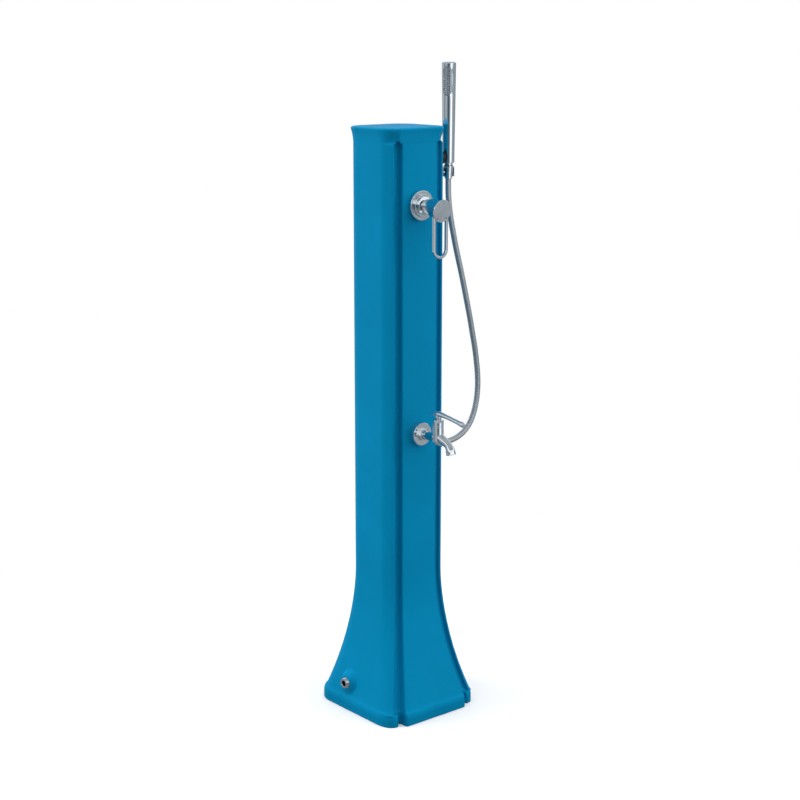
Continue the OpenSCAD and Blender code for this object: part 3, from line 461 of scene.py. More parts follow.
COLUMN_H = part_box("column_shell")[1].z
COLUMN_W, COLUMN_D = 0.148, 0.140
BASE_W, BASE_D = 0.240, 0.256
PLINTH_H, PLINTH_STEP, PLINTH_R, EDGE_R = 0.025, 0.0035, 0.008, 0.0015
FLARE_H, FLARE_POWER = 0.300, 1.85
BACK_R, LIP_R, PANEL_HALF = 0.038, 0.003, 0.044
GROOVE_W, GROOVE_D, POST_BACK, GROOVE_TOP = 0.0155, 0.0125, 0.0055, 0.027
RIM_GROW, RIM_H, TOP_R = 0.0035, 0.033, 0.004
WALL, FLOOR_T = 0.005, 0.014
# How far forward the side and the chamfered corner reach, on the shaft, under the top and at the foot
SIDE_SHARE, SIDE_TOP_SHARE, SIDE_FOOT_SHARE = 0.54, 0.48, 0.58
CHAMFER_SHARE, CHAMFER_TOP_SHARE, CHAMFER_FOOT_SHARE = 0.66, 0.84, 0.9
CHAMFER_CHANGE_H = 0.02  # below the arch, where the corner starts to fill out

FOOT_HALF_W, FOOT_FRONT = BASE_W / 2 - PLINTH_STEP, BASE_D / 2 - PLINTH_STEP
FOOT_PANEL_HALF = BASE_W / 3
FOOT_LIP_X = FOOT_PANEL_HALF + GROOVE_W + WALL + LIP_R / 2
FOOT_POST_BACK = 0.013
FOOT_GROOVE_D = FOOT_POST_BACK + 2.5 * LIP_R
FOOT_BACK_R = BACK_R * 1.2
GROOVE_MID, FOOT_GROOVE_MID = PANEL_HALF + GROOVE_W / 2, (FOOT_PANEL_HALF + FOOT_LIP_X) / 2
SLOT_W, SLOT_L, SLOT_EDGE_R = 0.012, 0.022, 0.0045
ARCH_H = GROOVE_W / 2
ARCH_Z = COLUMN_H - GROOVE_TOP
ARCH_LEAST_SHARE = 1 / 4  # of the groove's width, which is left where the arch closes
ARCH_CLOSED_SHARE = 0.003  # of the arch's height, from its last ring with grooves to its top
LEAST_STEP = 2.1  # edge radii, which the step from a corner post into its groove always holds
# Over this band above the arches the corner posts come forward to the panel
BAND_LOW = ARCH_Z + LIP_R
BAND_HIGH = BAND_LOW + ARCH_H * 2.2

BOSS = Vector((-FOOT_HALF_W, 0.026, 0.057))
BOSS_R, BOSS_SKIRT = 0.015, 0.0115

ARC_STEPS = 7
CAVITY_ARC_STEPS, CAVITY_BEND_STEPS, CAVITY_FLARE_STEPS = 10, 6, 20
SHOULDER_STEPS, BOSS_STEPS, BOSS_STEP = 24, 32, 0.002
FLARE_STEPS, SHAFT_STEPS, BAND_STEPS, RIM_STEPS = 40, 6, 12, 8
# Shares of a side at which a level has points, which stand closer together round the inlet's boss
SIDE_STEP, SIDE_CLOSE_FROM, SIDE_CLOSE_STEP, SIDE_CLOSE_COUNT = 0.045, 0.45, 0.0168, 28
SIDE_LAST_SHARE = 0.96
SIDE_SHARES = [SIDE_STEP * i for i in range(1, 11)]
SIDE_SHARES += [SIDE_CLOSE_FROM + SIDE_CLOSE_STEP * i for i in range(1, SIDE_CLOSE_COUNT + 1)]
SIDE_SHARES += [SIDE_LAST_SHARE]

# The ledge that carries the cover, the gap round it, and how far a cutter reaches past what it cuts
COVER_LEDGE, CUT_GAP, CUT_OVER = 0.015, 0.0003, 0.001
HOLE_SIDES, HOLE_HALF_L = 48, 0.03
HALF_INCH_HOLE_R = 0.0108
# The fitting in each hole of the column, the way it faces, and the hole's radius
HOLES = [
    ("mixer_flange", (0, -1, 0), 0.0173),
    ("tap_flange", (0, -1, 0), HALF_INCH_HOLE_R),
    ("outlet_fitting", (1, 0, 0), HALF_INCH_HOLE_R),
    ("inlet_nipple", (-1, 0, 0), HALF_INCH_HOLE_R),
]


def arc(x, y, radius, start, end, steps):
    """Points of an arc about (x, y), from start to end in degrees."""
    turns = [math.radians(degrees) for degrees in between(start, end, steps)]
    return [Vector((x + radius * math.cos(a), y + radius * math.sin(a))) for a in turns]


def half_outline(half_w, front, panel_half, lip, groove_d, edge, side_y, chamfer_y, back_r, grooved=True):
    """The right half of a level's outline, from the panel's edge to the back corner.

    lip is where the corner post's front starts, and edge is the radius of the groove's corners.
    """
    lip_x, lip_y = lip
    centre = Vector((lip_x + edge, -lip_y + edge))
    turn = math.atan2(-chamfer_y - centre.y, half_w - centre.x)
    lip_end = centre + edge * Vector((math.sin(turn), -math.cos(turn)))
    face = [
        *arc(panel_half - edge, -front + edge, edge, -90, 0, ARC_STEPS),
        *arc(panel_half + edge, -front + groove_d - edge, edge, 180, 90, ARC_STEPS),
        *arc(lip_x - edge, -front + groove_d - edge, edge, 90, 0, ARC_STEPS),
        *arc(centre.x, centre.y, edge, 180, 270 + math.degrees(turn), ARC_STEPS + 1),
    ]
    if not grooved:
        start = Vector((panel_half - edge, -front))
        bow = Vector(((start.x + lip_end.x) / 2, -front))
        face = [bend(start, bow, lip_end, t) for t in between(0, 1, len(face) - 1)]
    corner = Vector((half_w, -chamfer_y))
    side_start, side_end = Vector((half_w, -side_y)), Vector((half_w, front - back_r))
    return [
        *face,
        *[bend(lip_end, corner, side_start, t) for t in between(0, 1, 2 * ARC_STEPS)[1:]],
        *[side_start.lerp(side_end, share) for share in SIDE_SHARES],
        *arc(half_w - back_r, front - back_r, back_r, 0, 90, 2 * ARC_STEPS + 1),
    ]


def both_sides(half, z):
    """The whole ring at that height, from the right half of its outline."""
    ring = half + [Vector((-p.x, p.y)) for p in reversed(half)]
    return [Vector((p.x, p.y, z)) for p in ring]


def flare(z):
    """The foot's share of the outline at that height, from 1 at the plinth to 0 on the shaft."""
    if z >= FLARE_H:
        return 0.0
    return 1.0 if z <= PLINTH_H else ((FLARE_H - z) / (FLARE_H - PLINTH_H)) ** FLARE_POWER


def arch(z):
    """The share of its width that a groove has at that height."""
    up = max(0.0, (z - ARCH_Z + ARCH_H) / ARCH_H)
    return max(math.sqrt(max(0, 1 - up**2)), ARCH_LEAST_SHARE)


def plinth_level(z, inset):
    """A ring of the plinth, whose front has the two anchor slots."""
    half_w, front = BASE_W / 2 - inset, BASE_D / 2 - inset
    lip = (FOOT_PANEL_HALF + SLOT_W, front - POST_BACK * 2)
    side_y, chamfer_y = front * SIDE_FOOT_SHARE, front * CHAMFER_FOOT_SHARE
    sizes = (half_w, front, FOOT_PANEL_HALF, lip, SLOT_L, SLOT_EDGE_R, side_y, chamfer_y, FOOT_BACK_R)
    return both_sides(half_outline(*sizes), z)


def level(z, inset=0.0):
    """A ring of the flare, the shaft or the rim, moved in by inset."""
    f = flare(z)
    flat = ease((z - BAND_LOW) / (BAND_HIGH - BAND_LOW))
    grow = RIM_GROW * clamp01((z - COLUMN_H + RIM_H) / (RIM_H - TOP_R)) ** 2 - inset
    half_w, front = mix(COLUMN_W / 2, FOOT_HALF_W, f) + grow, mix(COLUMN_D / 2, FOOT_FRONT, f) + grow
    half_gap = mix(GROOVE_W, FOOT_LIP_X - FOOT_PANEL_HALF, f) / 2 * arch(z)
    middle = mix(GROOVE_MID, FOOT_GROOVE_MID, f)
    post_back = mix(mix(POST_BACK, FOOT_POST_BACK, f), 0, flat)
    groove_d = mix(GROOVE_D, FOOT_GROOVE_D, f)
    edge = min(LIP_R, (groove_d - post_back) / LEAST_STEP) * arch(z)
    full = ease((z - ARCH_Z + CHAMFER_CHANGE_H) / (COLUMN_H - TOP_R - ARCH_Z + CHAMFER_CHANGE_H))
    side_y = front * mix(mix(SIDE_SHARE, SIDE_TOP_SHARE, full), SIDE_FOOT_SHARE, f)
    chamfer_y = front * mix(mix(CHAMFER_SHARE, CHAMFER_TOP_SHARE, full), CHAMFER_FOOT_SHARE, f)
    lip = (middle + half_gap, front - post_back - flat * LIP_R / 2)
    back_r = mix(BACK_R, FOOT_BACK_R, f)
    sizes = (half_w, front, middle - half_gap, lip, groove_d, edge, side_y, chamfer_y, back_r)
    return both_sides(half_outline(*sizes, grooved=z <= ARCH_Z), z)


def cavity_level(z, f, front, groove_d):
    """A ring of the cavity, which runs behind the grooves and leaves the corner posts solid."""
    half_w, back = mix(COLUMN_W / 2, FOOT_HALF_W, f) - WALL, mix(COLUMN_D / 2, FOOT_FRONT, f) - WALL
    back_r = mix(BACK_R, FOOT_BACK_R, f) - WALL
    panel_half = mix(PANEL_HALF, FOOT_PANEL_HALF, f) - WALL
    step = Vector((mix(GROOVE_MID, FOOT_GROOVE_MID, f), -front + max(groove_d, LIP_R)))
    corner, side = Vector((half_w, step.y)), Vector((half_w, -back * mix(SIDE_SHARE, SIDE_FOOT_SHARE, f)))
    half = [
        Vector((panel_half - WALL, -front)),
        Vector((panel_half, -front + max(groove_d, LIP_R / 2))),
        step,
        *[bend(step, corner, side, t) for t in between(0, 1, CAVITY_BEND_STEPS)[1:]],
        *arc(half_w - back_r, back - back_r, back_r, 0, 90, CAVITY_ARC_STEPS),
    ]
    return both_sides(half, z)


def cavity(z):
    """A ring of the cavity on the flare or the shaft."""
    f = flare(z)
    return cavity_level(z, f, mix(COLUMN_D / 2, FOOT_FRONT, f) - WALL, mix(GROOVE_D, FOOT_GROOVE_D, f))


def with_boss(point):
    """The skin bulges out to the flat face of the inlet's boss and runs back softly."""
    if point.x > 0:
        return point
    away = math.hypot(point.y - BOSS.y, point.z - BOSS.z)
    share = 1 - ease((away - BOSS_R) / BOSS_SKIRT)
    return Vector((min(point.x, mix(point.x, BOSS.x, share)), point.y, point.z))


def shoulder_inset(z):
    """How far the plinth's soft shoulder has come in at that height."""
    return PLINTH_STEP * ease((z - PLINTH_H + PLINTH_R) / (2 * PLINTH_R))


def edge_round(radius, turn):
    """How far a rounded edge has gone down and in at that turn of its arc."""
    return radius * (1 - math.sin(turn)), radius * (1 - math.cos(turn))


def outer_rings():
    """The column's outside, from its lower edge up over the plinth, the flare, the shaft and the rim."""
    quarter = [math.radians(degrees) for degrees in range(0, 91, 9)]
    rings = [plinth_level(*edge_round(EDGE_R, turn)) for turn in reversed(quarter[::2])]
    shoulder = between(PLINTH_H - PLINTH_R, PLINTH_H + PLINTH_R, SHOULDER_STEPS)[:-1]
    rings += [plinth_level(z, shoulder_inset(z)) for z in shoulder if z < PLINTH_H]
    rings += [level(z, shoulder_inset(z) - PLINTH_STEP) for z in shoulder if z >= PLINTH_H]
    heights = [PLINTH_H + PLINTH_R + BOSS_STEP * i for i in range(BOSS_STEPS)]
    heights += between(heights[-1], FLARE_H, FLARE_STEPS)[1:]
    heights += between(FLARE_H, ARCH_Z - ARCH_H, SHAFT_STEPS)[1:-1]
    heights += [ARCH_Z - edge_round(ARCH_H, turn)[0] for turn in quarter[:-1]]
    heights += [ARCH_Z - ARCH_H * ARCH_CLOSED_SHARE, *between(BAND_LOW, BAND_HIGH, BAND_STEPS)]
    heights += between(BAND_HIGH, COLUMN_H - TOP_R, RIM_STEPS)[1:-1]
    rings += [level(z) for z in heights]
    for turn in quarter:
        down, inward = edge_round(TOP_R, turn)
        rings.append(level(COLUMN_H - down, inward))
    rings.append(level(COLUMN_H, TOP_R * 3 / 2))
    return [[with_boss(p) for p in ring] for ring in rings]


def inner_rings():
    """The cavity, from its floor up to its ceiling."""
    floor = cavity_level(FLOOR_T, 1, FOOT_FRONT - FOOT_GROOVE_D - WALL, 0)
    flared = [cavity(z) for z in between(PLINTH_H, FLARE_H, CAVITY_FLARE_STEPS)]
    return [floor, *flared, cavity(ARCH_Z), cavity_level(COLUMN_H - WALL, 0, COLUMN_D / 2 - WALL, 0)]


def cut_away(piece, shapes):
    """Takes each closed shape away from the piece, one after another."""
    cutters = []
    for shape in shapes:
        cutter = new_object("cutter", shape)
        modifier = piece.modifiers.new("cut", "BOOLEAN")
        modifier.operation, modifier.solver, modifier.object = "DIFFERENCE", "EXACT", cutter
        cutters.append(cutter)
    bpy.context.view_layer.update()
    cut = bpy.data.meshes.new_from_object(piece.evaluated_get(bpy.context.evaluated_depsgraph_get()))
    piece.modifiers.clear()
    piece.data = cut
    for cutter in cutters:
        bpy.data.objects.remove(cutter)


def make_column():
    """The hollow column, with the seat of its base cover and the holes of its fittings."""
    cover_low, cover_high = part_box("base_cover")
    gasket_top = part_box("base_gasket")[1].z
    cover_r = (cover_high.x - cover_low.x) / 2
    up = Matrix.Identity(4)
    seat = lathe(up, [(cover_r + CUT_GAP, -CUT_OVER), (cover_r + CUT_GAP, gasket_top)])
    opening_r = cover_r - COVER_LEDGE
    opening = lathe(up, [(opening_r, -2 * CUT_OVER), (opening_r, FLOOR_T + 2 * CUT_OVER)])
    holes = []
    for node, way, radius in HOLES:
        low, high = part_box(node)
        place = looking((low + high) / 2 - Vector(way) * HOLE_HALF_L, way)
        holes.append(lathe(place, [(radius, 0), (radius, 2 * HOLE_HALF_L)], HOLE_SIDES))
    column = new_object("column_skin", skin(outer_rings()))
    cut_away(column, [skin(inner_rings()), seat, opening, *holes])
    shade(column, sharp_from=32)
    dress(column, BLUE, "post", ["column_shell"])


make_column()

# Foot tap

AXIS_R = 0.001  # of the small flat that closes a turned end
BARREL = Vector((0, -0.128, 0.592))
BARREL_R, BARREL_LOW, BARREL_HIGH, BARREL_EDGE = 0.01075, 0.004, 0.035, 0.0008
BARREL_LINES, BARREL_LINE_HALF_H, BARREL_LINE_CUT = (0.0245, 0.0285), 0.0005, 0.0004
NECK_R, NECK_STEP, NECK_SKIRT, NECK_GROW, NECK_ROUND = 0.0085, 0.001, 0.004, 0.0015, 0.0015
NECK_PLAIN_SHARE = 0.82  # of its reach, up to where the neck widens into the barrel
HEX_R, HEX_START, HEX_END, HEX_EDGE = 0.013, 0.011, 0.017, 0.0007
HEX_EDGE_SHARE = 1.01  # of its flats' radius, to which the corners of its ends are turned down
THREAD_R, THREAD_BACK = 0.010475, 0.016
SPOUT_R, SPOUT_UP, SPOUT_SLOPE, SPOUT_SIDES = 0.009, 0.005, math.radians(22), 64
SPOUT_STRAIGHT, SPOUT_BEND, SPOUT_BEND_R, SPOUT_TIP = 0.026, math.radians(53), 0.022, 0.007
SPOUT_STRAIGHT_STEPS, SPOUT_BEND_STEPS = 4, 24
SPOUT_TIP_SHARES = (0.5, 0.9, 1)
SPOUT_WAIST_SHARE, SPOUT_WAIST_END_SHARE, SPOUT_FLARE_FROM_SHARE = 0.13, 0.8, 0.75
SPOUT_FLARE, SPOUT_LIP = 0.0006, 0.0006
SPOUT_MOUTH_R, SPOUT_MOUTH_DEPTH = 0.00655, 0.0045
LEVER_L, LEVER_MID, LEVER_RISE, LEVER_HALF_W, LEVER_HALF_T = 0.076, 0.0484, 0.008, 0.0065, 0.0055
LEVER_STEPS, LEVER_SIDES = 6, 40
HUB_AXIS_R, HUB_R, HUB_LOW, HUB_OVER, HUB_ROUND = 0.0005, 0.0065, 0.042, 0.001, 0.0006
HUB_EDGE_R, HUB_EDGE_H = 0.0003, 0.0008
# Each station of the lever, as shares: along it, of its rise, of its half width and of its half height
LEVER_SHARES = [
    (-0.32, -0.25, 0.16, 0.2), (-0.24, 0, 0.5, 0.5), (-0.12, 0.17, 0.85, 0.85), (0, 0.25, 1, 1),
    (0.13, 0.22, 0.92, 0.95), (0.26, 0.1, 0.77, 0.85), (0.42, -0.1, 0.7, 0.8),
    (0.6, -0.36, 0.69, 0.78), (0.77, -0.62, 0.72, 0.8), (0.87, -0.78, 0.8, 0.95),
    (0.95, -0.9, 0.83, 1), (1, -0.98, 0.45, 0.55),
]


def hex_collar(place, radius, start, end):
    """A hexagon whose ends are turned down at the corners, as a nut's are."""
    flat = radius * math.cos(math.pi / 6)
    turned = flat * HEX_EDGE_SHARE
    rings = []
    profile = [(start, turned), (start + HEX_EDGE, radius), (end - HEX_EDGE, radius), (end, turned)]
    for height, limit in profile:
        ring = []
        for a in around(FINE_SIDES):
            reach = min(flat / math.cos(a % (math.pi / 3) - math.pi / 6), limit)
            ring.append(place @ Vector((reach * math.cos(a), reach * math.sin(a), height)))
        rings.append(ring)
    return skin(rings)


def spout_line():
    """Places and turns along the spout, in the upright plane of the tap."""
    line = [(x, 0.0, 0.0) for x in between(0, SPOUT_STRAIGHT, SPOUT_STRAIGHT_STEPS)[:-1]]
    for turn in between(0, SPOUT_BEND, SPOUT_BEND_STEPS):
        height = SPOUT_BEND_R * (math.cos(turn) - 1)
        line.append((SPOUT_STRAIGHT + SPOUT_BEND_R * math.sin(turn), height, turn))
    x, y, turn = line[-1]
    ahead = [SPOUT_TIP * share for share in SPOUT_TIP_SHARES]
    return line + [(x + far * math.cos(turn), y - far * math.sin(turn), turn) for far in ahead]


def spout_radius(t):
    """The spout is slimmest before its bend, and its mouth flares a little."""
    waist = SPOUT_WAIST_SHARE * math.sin(math.pi * clamp01(t / SPOUT_WAIST_END_SHARE))
    flared = ease((t - SPOUT_FLARE_FROM_SHARE) / (1 - SPOUT_FLARE_FROM_SHARE))
    return SPOUT_R * (1 - waist) + SPOUT_FLARE * flared


def spout_ring(station, radius, back=0.0):
    """A ring round a station of the spout, or that far back from it."""
    x, y, turn = station
    x, y = x - back * math.cos(turn), y + back * math.sin(turn)
    slope = SPOUT_SLOPE + turn
    along = x * math.cos(SPOUT_SLOPE) + y * math.sin(SPOUT_SLOPE)
    rise = y * math.cos(SPOUT_SLOPE) - x * math.sin(SPOUT_SLOPE)
    centre = BARREL + Vector((0, 0, SPOUT_UP)) + Vector((0, -along, rise))
    side, up = Vector((1, 0, 0)), Vector((0, -math.sin(slope), math.cos(slope)))
    return [centre + radius * (math.cos(a) * side + math.sin(a) * up) for a in around(SPOUT_SIDES)]


def make_spout():
    """The spout, with a rolled lip and a mouth for the aerator."""
    line = spout_line()
    radii = [spout_radius(i / (len(line) - 1)) for i in range(len(line))]
    rings = [spout_ring(station, radius) for station, radius in zip(line[:-1], radii)]
    tip = line[-1]
    rings += [spout_ring(tip, radii[-1], SPOUT_LIP), spout_ring(tip, radii[-1] - SPOUT_LIP)]
    rings += [spout_ring(tip, SPOUT_MOUTH_R + SPOUT_LIP / 2), spout_ring(tip, SPOUT_MOUTH_R, SPOUT_LIP / 2)]
    rings.append(spout_ring(tip, SPOUT_MOUTH_R, SPOUT_MOUTH_DEPTH))
    return skin(rings)


def make_barrel():
    """The upright barrel: a bowl below, two fine lines round it, and a chamfer at its top."""
    turns = [math.radians(degrees) for degrees in range(3, 91, 6)]
    bowl = [(BARREL_R * math.sin(a), -BARREL_LOW - BARREL_R * math.cos(a)) for a in turns]
    lines = []
    for height in BARREL_LINES:
        lines += [(BARREL_R, height - BARREL_LINE_HALF_H), (BARREL_R - BARREL_LINE_CUT, height)]
        lines += [(BARREL_R, height + BARREL_LINE_HALF_H)]
    top = [
        (BARREL_R, BARREL_HIGH - BARREL_EDGE),
        (BARREL_R - BARREL_EDGE, BARREL_HIGH),
        (BARREL_R * 2 / 5, BARREL_HIGH),
    ]
    return lathe(Matrix.Translation(BARREL), bowl + lines + top)


def make_tap():
    """The tap's body in one piece: its neck with the hexagon, the barrel and the spout."""
    panel = looking((0, -COLUMN_D / 2, BARREL.z), (0, -1, 0))
    reach = -BARREL.y - COLUMN_D / 2
    neck = [
        (AXIS_R, -THREAD_BACK), (THREAD_R, -THREAD_BACK), (THREAD_R, HEX_START),
        (NECK_R + NECK_STEP, HEX_START), (NECK_R + NECK_STEP, HEX_END + NECK_STEP),
        (NECK_R, HEX_END + NECK_SKIRT), (NECK_R, reach * NECK_PLAIN_SHARE),
        (NECK_R + NECK_GROW, reach - BARREL_R * 2 / 5), (AXIS_R, reach),
    ]
    collar = hex_collar(panel, HEX_R, HEX_START, HEX_END)
    shape = joined(lathe(panel, round_profile(neck, NECK_ROUND)), collar, make_barrel(), make_spout())
    body = new_object("tap_body_skin", shape)
    shade(body, sharp_from=38)
    dress(body, CHROME, "post", ["tap_body"])


def make_tap_lever():
    """The long curved lever, on its round hub."""
    rings = []
    for along, rise, half_w, half_t in smooth_path([Vector(s) for s in LEVER_SHARES], LEVER_STEPS):
        middle = BARREL + Vector((0, -along * LEVER_L, LEVER_MID + rise * LEVER_RISE))
        across, up = half_w * LEVER_HALF_W, half_t * LEVER_HALF_T
        ring = [Vector((across * math.cos(a), 0, up * math.sin(a))) for a in around(LEVER_SIDES)]
        rings.append([middle + point for point in ring])
    hub = [
        (HUB_AXIS_R, HUB_LOW), (HUB_R - HUB_EDGE_R, HUB_LOW), (HUB_R, HUB_LOW + HUB_EDGE_H),
        (HUB_R, LEVER_MID), (HUB_AXIS_R, LEVER_MID + HUB_OVER),
    ]
    turned = lathe(Matrix.Translation(BARREL), round_profile(hub, HUB_ROUND))
    lever = new_object("tap_lever_skin", joined(skin(rings), turned))
    shade(lever, sharp_from=38)
    dress(lever, BRUSHED, "foot_lever", ["tap_lever"])


make_tap()
make_tap_lever()

# Nozzles

STICK = Vector((0.114, SHOWER_Y, 1.124))
STICK_L, STICK_FOOT_R, STICK_TOP_R = 0.198, 0.012, 0.01425
NOZZLE_TURN, NOZZLE_STEP, NOZZLE_PITCH = math.radians(58), math.radians(14), 0.0038
NOZZLE_ROWS, NOZZLE_COLS, NOZZLE_SIDES = 14, 5, 14
NOZZLE_R, NOZZLE_H, NOZZLE_ROOT, NOZZLE_FILLET, JET_DEPTH = 0.001, 0.0009, 0.0006, 0.0001, 0.0004
PLATE_W, PLATE_TOP = 0.018, STICK_L - 0.008
PLATE_LOW = PLATE_TOP - NOZZLE_PITCH * NOZZLE_ROWS - PLATE_W / 4
PLATE_EDGE, PLATE_LEAST_SHARE = 0.0003, 0.02
PLATE_ROWS, PLATE_COLS = 60, 24
# A nozzle's outline from its root to its jet, as (share of its radius, height)
NOZZLE_PROFILE = [
    (1.05, -NOZZLE_ROOT), (1.05, NOZZLE_FILLET), (1, 3 * NOZZLE_FILLET),
    (0.94, NOZZLE_H * 0.7), (0.78, NOZZLE_H), (0.45, NOZZLE_H),
    (0.35, NOZZLE_H - JET_DEPTH), (0.1, NOZZLE_H - JET_DEPTH),
]


def stick_radius(z):
    """The hand shower's radius at that height above its foot."""
    return mix(STICK_FOOT_R, STICK_TOP_R, z / STICK_L)


def facing(turn):
    """The level way that is turned by that much from -Y towards -X."""
    return Vector((-math.sin(turn), -math.cos(turn), 0))


def make_nozzle_face():
    """The curved plate in the window, its edge turned in, as rows of points up the stick."""
    out = facing(NOZZLE_TURN)
    across = Vector((-out.y, out.x, 0))
    half = PLATE_W / 2
    verts, faces = [], []
    for i in range(PLATE_ROWS + 1):
        z = mix(PLATE_LOW, PLATE_TOP, (1 - math.cos(math.pi * i / PLATE_ROWS)) / 2)
        end = max(0.0, PLATE_LOW + half - z, z - PLATE_TOP + half)
        half_w = math.sqrt(max(half**2 - end**2, (half * PLATE_LEAST_SHARE) ** 2))
        for k in range(PLATE_COLS + 1):
            x = half_w * math.sin(math.pi * (k / PLATE_COLS - 1 / 2))
            rim = min(half_w - abs(x), z - PLATE_LOW, PLATE_TOP - z)
            drop = PLATE_EDGE * (1 - ease(rim / PLATE_EDGE))
            depth = math.sqrt(stick_radius(z) ** 2 - x**2) - drop
            verts.append(STICK + out * depth + across * x + Vector((0, 0, z)))
    for i in range(PLATE_ROWS):
        for k in range(PLATE_COLS):
            a = i * (PLATE_COLS + 1) + k
            faces.append((a, a + 1, a + PLATE_COLS + 2, a + PLATE_COLS + 1))
    face = new_object("nozzle_face", (verts, faces))
    shade(face, sharp_from=60)
    dress(face, DULL_CHROME, "handset", ["nozzle_plate"])


def make_nozzles():
    """Rows of soft nozzles, each with its jet."""
    profile = [(NOZZLE_R * share, height) for share, height in NOZZLE_PROFILE]
    nozzles = []
    for row in range(NOZZLE_ROWS):
        z = PLATE_LOW + PLATE_W / 8 + NOZZLE_PITCH * (row + 1 / 2)
        for col in range(NOZZLE_COLS):
            way = facing(NOZZLE_TURN - NOZZLE_STEP * (col - (NOZZLE_COLS - 1) / 2))
            place = looking(STICK + Vector((0, 0, z)) + way * stick_radius(z), way)
            nozzles.append(lathe(place, profile, NOZZLE_SIDES))
    piece = new_object("nozzle_nubs", joined(*nozzles))
    shade(piece, sharp_from=50)
    dress(piece, NOZZLE_RUBBER, "handset")


make_nozzle_face()
make_nozzles()

# Inlet

THREAD_PITCH, THREAD_DEPTH, THREAD_CHAMFER = 0.00181, 0.00085, 0.0008
THREAD_STEPS, THREAD_RUN_OUT_SHARE, THREAD_START_SHARE = 72, 1 / 9, 0.9
INLET_END, INLET_BORE, INLET_FLANGE_R, INLET_FLANGE_T = 0.007, 0.006, 0.0116, 0.001
INLET_EDGE, INLET_MOUTH_EDGE = 0.0003, 0.0006


def thread_ring(place, t):
    """A ring of the threaded stretch, whose valleys fade out at both of its ends."""
    started, left = ease(t / THREAD_RUN_OUT_SHARE), ease((1 - t) / THREAD_RUN_OUT_SHARE)
    r = THREAD_R - THREAD_CHAMFER * (1 - left) - THREAD_DEPTH * (1 - started) * THREAD_START_SHARE
    height = mix(INLET_FLANGE_T, INLET_END, t)
    ring = []
    for a in around(FINE_SIDES):
        phase = (INLET_END / THREAD_PITCH * t - a / (2 * math.pi)) % 1
        cut = r - THREAD_DEPTH * (1 - abs(2 * phase - 1)) * started * left
        ring.append(place @ Vector((cut * math.cos(a), cut * math.sin(a), height)))
    return ring


def make_inlet():
    """The nipple, with a real thread on the part that stands out of the boss."""
    place = looking(BOSS, (-1, 0, 0))
    tail = BOSS.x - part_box("inlet_nipple")[1].x
    flange = [
        (INLET_BORE, tail), (THREAD_R, tail), (THREAD_R, 0.0), (INLET_FLANGE_R, 0.0),
        (INLET_FLANGE_R, INLET_FLANGE_T - INLET_EDGE), (INLET_FLANGE_R - INLET_EDGE, INLET_FLANGE_T),
    ]
    mouth = [
        (INLET_BORE + INLET_MOUTH_EDGE, INLET_END), (INLET_BORE, INLET_END - INLET_MOUTH_EDGE),
        (INLET_BORE, tail),
    ]
    rings = [circle(place, radius, height) for radius, height in flange]
    rings += [thread_ring(place, t) for t in between(0, 1, THREAD_STEPS)]
    rings += [circle(place, radius, height) for radius, height in mouth]
    nipple = new_object("inlet_nipple_skin", skin(rings, closed=False))
    shade(nipple, sharp_from=30)
    dress(nipple, CHROME, "post", ["inlet_nipple"])


make_inlet()

# Studio

FLOOR_HALF = 1.6
FLOOR_FADE = (0.6, 1.3)
FLOOR_ROUGHNESS = 0.9
FLOOR_LIGHT, FLOOR_DARK, FLOOR_UNSEEN = (255, 255, 255), (253, 253, 253), (128, 130, 132)
SKY, SKY_TINT = 0.42, (0.97, 0.985, 1, 1)
# What polished metal mirrors of the studio, as (share of the way up from level, grey): a dark line
# at the horizon, then a wide soft light.
CEILING = [(0, 0.33), (0.05, 0.12), (0.14, 0.14), (0.2, 1.18), (0.45, 1.02), (0.62, 0.32), (1, 0.57)]
HORIZON = 0.05
# The same round the post, as (share of a turn from -X, grey): dark behind the camera, and bright to
# the right of it.
MIRRORED = [
    (0.01, 0.55), (0.06, 0.4), (0.1, 0.12), (0.14, 0.1), (0.19, 0.37), (0.24, 1.14), (0.28, 1.4),
    (0.33, 0.42), (0.39, 0.42), (0.46, 0.31), (0.64, 0.45), (0.85, 0.58), (0.91, 0.27), (0.96, 0.45),
]
COOL = (-0.05, 0, 0.03)
# Each soft distant light: the way it comes from, the degrees it spreads over, and what it adds to a
# white surface that faces it
SUNS = {
    "top_light": ((-0.1, -0.1, 1), 70, 0.6),
    "left_light": ((-1, 0.8, 0.3), 50, 0.55),
    "right_light": ((0.8, -1, 0.3), 50, 0.39),
}
STRIP_PLACE, STRIP_W, STRIP_H, STRIP_AMOUNT = Vector((0.28, -3.2, 1.2)), 0.2, 2.6, 0.03


def cool(grey):
    """A grey of the studio, which leans a little to blue."""
    return tuple(grey + lean for lean in COOL)


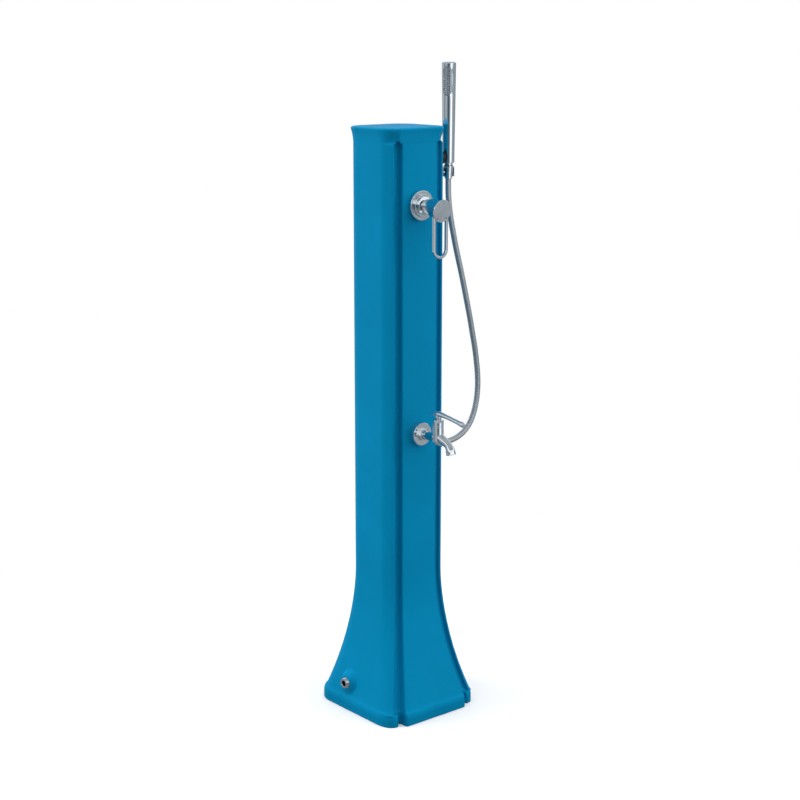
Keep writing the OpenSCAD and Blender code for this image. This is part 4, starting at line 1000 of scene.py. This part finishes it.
def make_floor():
    """A pale floor that takes the shadow and fades to white further out."""
    corners = [(x * FLOOR_HALF, y * FLOOR_HALF, 0) for x, y in ((-1, -1), (1, -1), (1, 1), (-1, 1))]
    floor = new_object("floor", (corners, [(0, 1, 2, 3)]))
    finish = Finish("floor", specular=0.0)
    tree = finish.tree
    camera_ray = add_node(tree, "ShaderNodeLightPath").outputs["Is Camera Ray"]
    seen = finish.colours(finish.noise(FLOOR_CLOUD), FLOOR_LIGHT, FLOOR_DARK)
    base = mixed_colours(tree, camera_ray, colour(*FLOOR_UNSEEN), seen)
    floor.data.materials.append(finish.done(base, FLOOR_ROUGHNESS))
    away = add_node(tree, "ShaderNodeVectorMath", {0: finish.places}, operation="LENGTH").outputs["Value"]
    faded = finish.spread(away, 0.0, 1.0, *FLOOR_FADE)
    share = add_node(tree, "ShaderNodeMath", {0: faded, 1: camera_ray}, operation="MULTIPLY").outputs[0]
    white = add_node(tree, "ShaderNodeEmission").outputs[0]
    by_share = {0: share, 1: finish.shader.outputs[0], 2: white}
    both = add_node(tree, "ShaderNodeMixShader", by_share).outputs[0]
    put(tree, both, tree.nodes["Material Output"].inputs["Surface"])


def ramp(tree, along, table):
    """The greys of a table of (place, grey), spread smoothly along a value from 0 to 1."""
    node = add_node(tree, "ShaderNodeValToRGB", {"Fac": along})
    stops = node.color_ramp.elements
    while len(stops) < len(table):
        stops.new(1 / 2)
    for stop, (place, grey) in zip(stops, table):
        stop.position, stop.color = place, (*cool(grey), 1)
    return node.outputs["Color"]


def make_world():
    """White to the camera, a plain grey sky to give light, and soft bands for the chrome to mirror."""
    world = bpy.data.worlds.new("studio")
    bpy.context.scene.world = world
    world.use_nodes = True
    tree = world.node_tree
    way = add_node(tree, "ShaderNodeTexCoord").outputs["Generated"]
    x, y, z = add_node(tree, "ShaderNodeSeparateXYZ", {0: way}).outputs
    turn = add_node(tree, "ShaderNodeMath", {0: y, 1: x}, operation="ARCTAN2").outputs[0]
    share = add_node(tree, "ShaderNodeMapRange", {"Value": turn, "From Min": -math.pi, "From Max": math.pi})
    above = add_node(tree, "ShaderNodeMapRange", {"Value": z, "From Max": HORIZON})
    bands, ceiling = ramp(tree, share.outputs["Result"], MIRRORED), ramp(tree, z, CEILING)
    domed = mixed_colours(tree, above.outputs["Result"], bands, ceiling)
    light = add_node(tree, "ShaderNodeBackground", {"Color": SKY_TINT, "Strength": SKY}).outputs[0]
    mirrored = add_node(tree, "ShaderNodeBackground", {"Color": domed}).outputs[0]
    white = tree.nodes["Background"]
    white.inputs["Color"].default_value = (1, 1, 1, 1)
    ray = add_node(tree, "ShaderNodeLightPath").outputs
    by_gloss = {0: ray["Is Glossy Ray"], 1: light, 2: mirrored}
    unseen = add_node(tree, "ShaderNodeMixShader", by_gloss).outputs[0]
    by_camera = {0: ray["Is Camera Ray"], 1: unseen, 2: white.outputs[0]}
    both = add_node(tree, "ShaderNodeMixShader", by_camera).outputs[0]
    put(tree, both, tree.nodes["World Output"].inputs["Surface"])


def add_light(name, kind):
    data = bpy.data.lights.new(name, kind)
    light = bpy.data.objects.new(name, data)
    bpy.context.scene.collection.objects.link(light)
    return light, data


def make_suns():
    """Soft distant lights, which polished metal doesn't mirror."""
    for name, (way, degrees, amount) in SUNS.items():
        light, data = add_light(name, "SUN")
        data.angle, data.energy = math.radians(degrees), amount * math.pi
        light.visible_glossy = False
        light.rotation_euler = Vector(way).to_track_quat("Z", "Y").to_euler()


def make_strip():
    """A tall soft light in front, which aims at the post. Its amount is as a sun's, at the post."""
    light, data = add_light("front_strip", "AREA")
    way = Vector((0, 0, COLUMN_H / 2)) - STRIP_PLACE
    data.shape, data.size, data.size_y = "RECTANGLE", STRIP_W, STRIP_H
    data.energy = STRIP_AMOUNT * math.pi**2 * way.length_squared
    light.location = STRIP_PLACE
    light.rotation_euler = way.to_track_quat("-Z", "Y").to_euler()


make_floor()
make_world()
make_suns()
make_strip()

scene = bpy.context.scene
scene.view_settings.view_transform = "Standard"
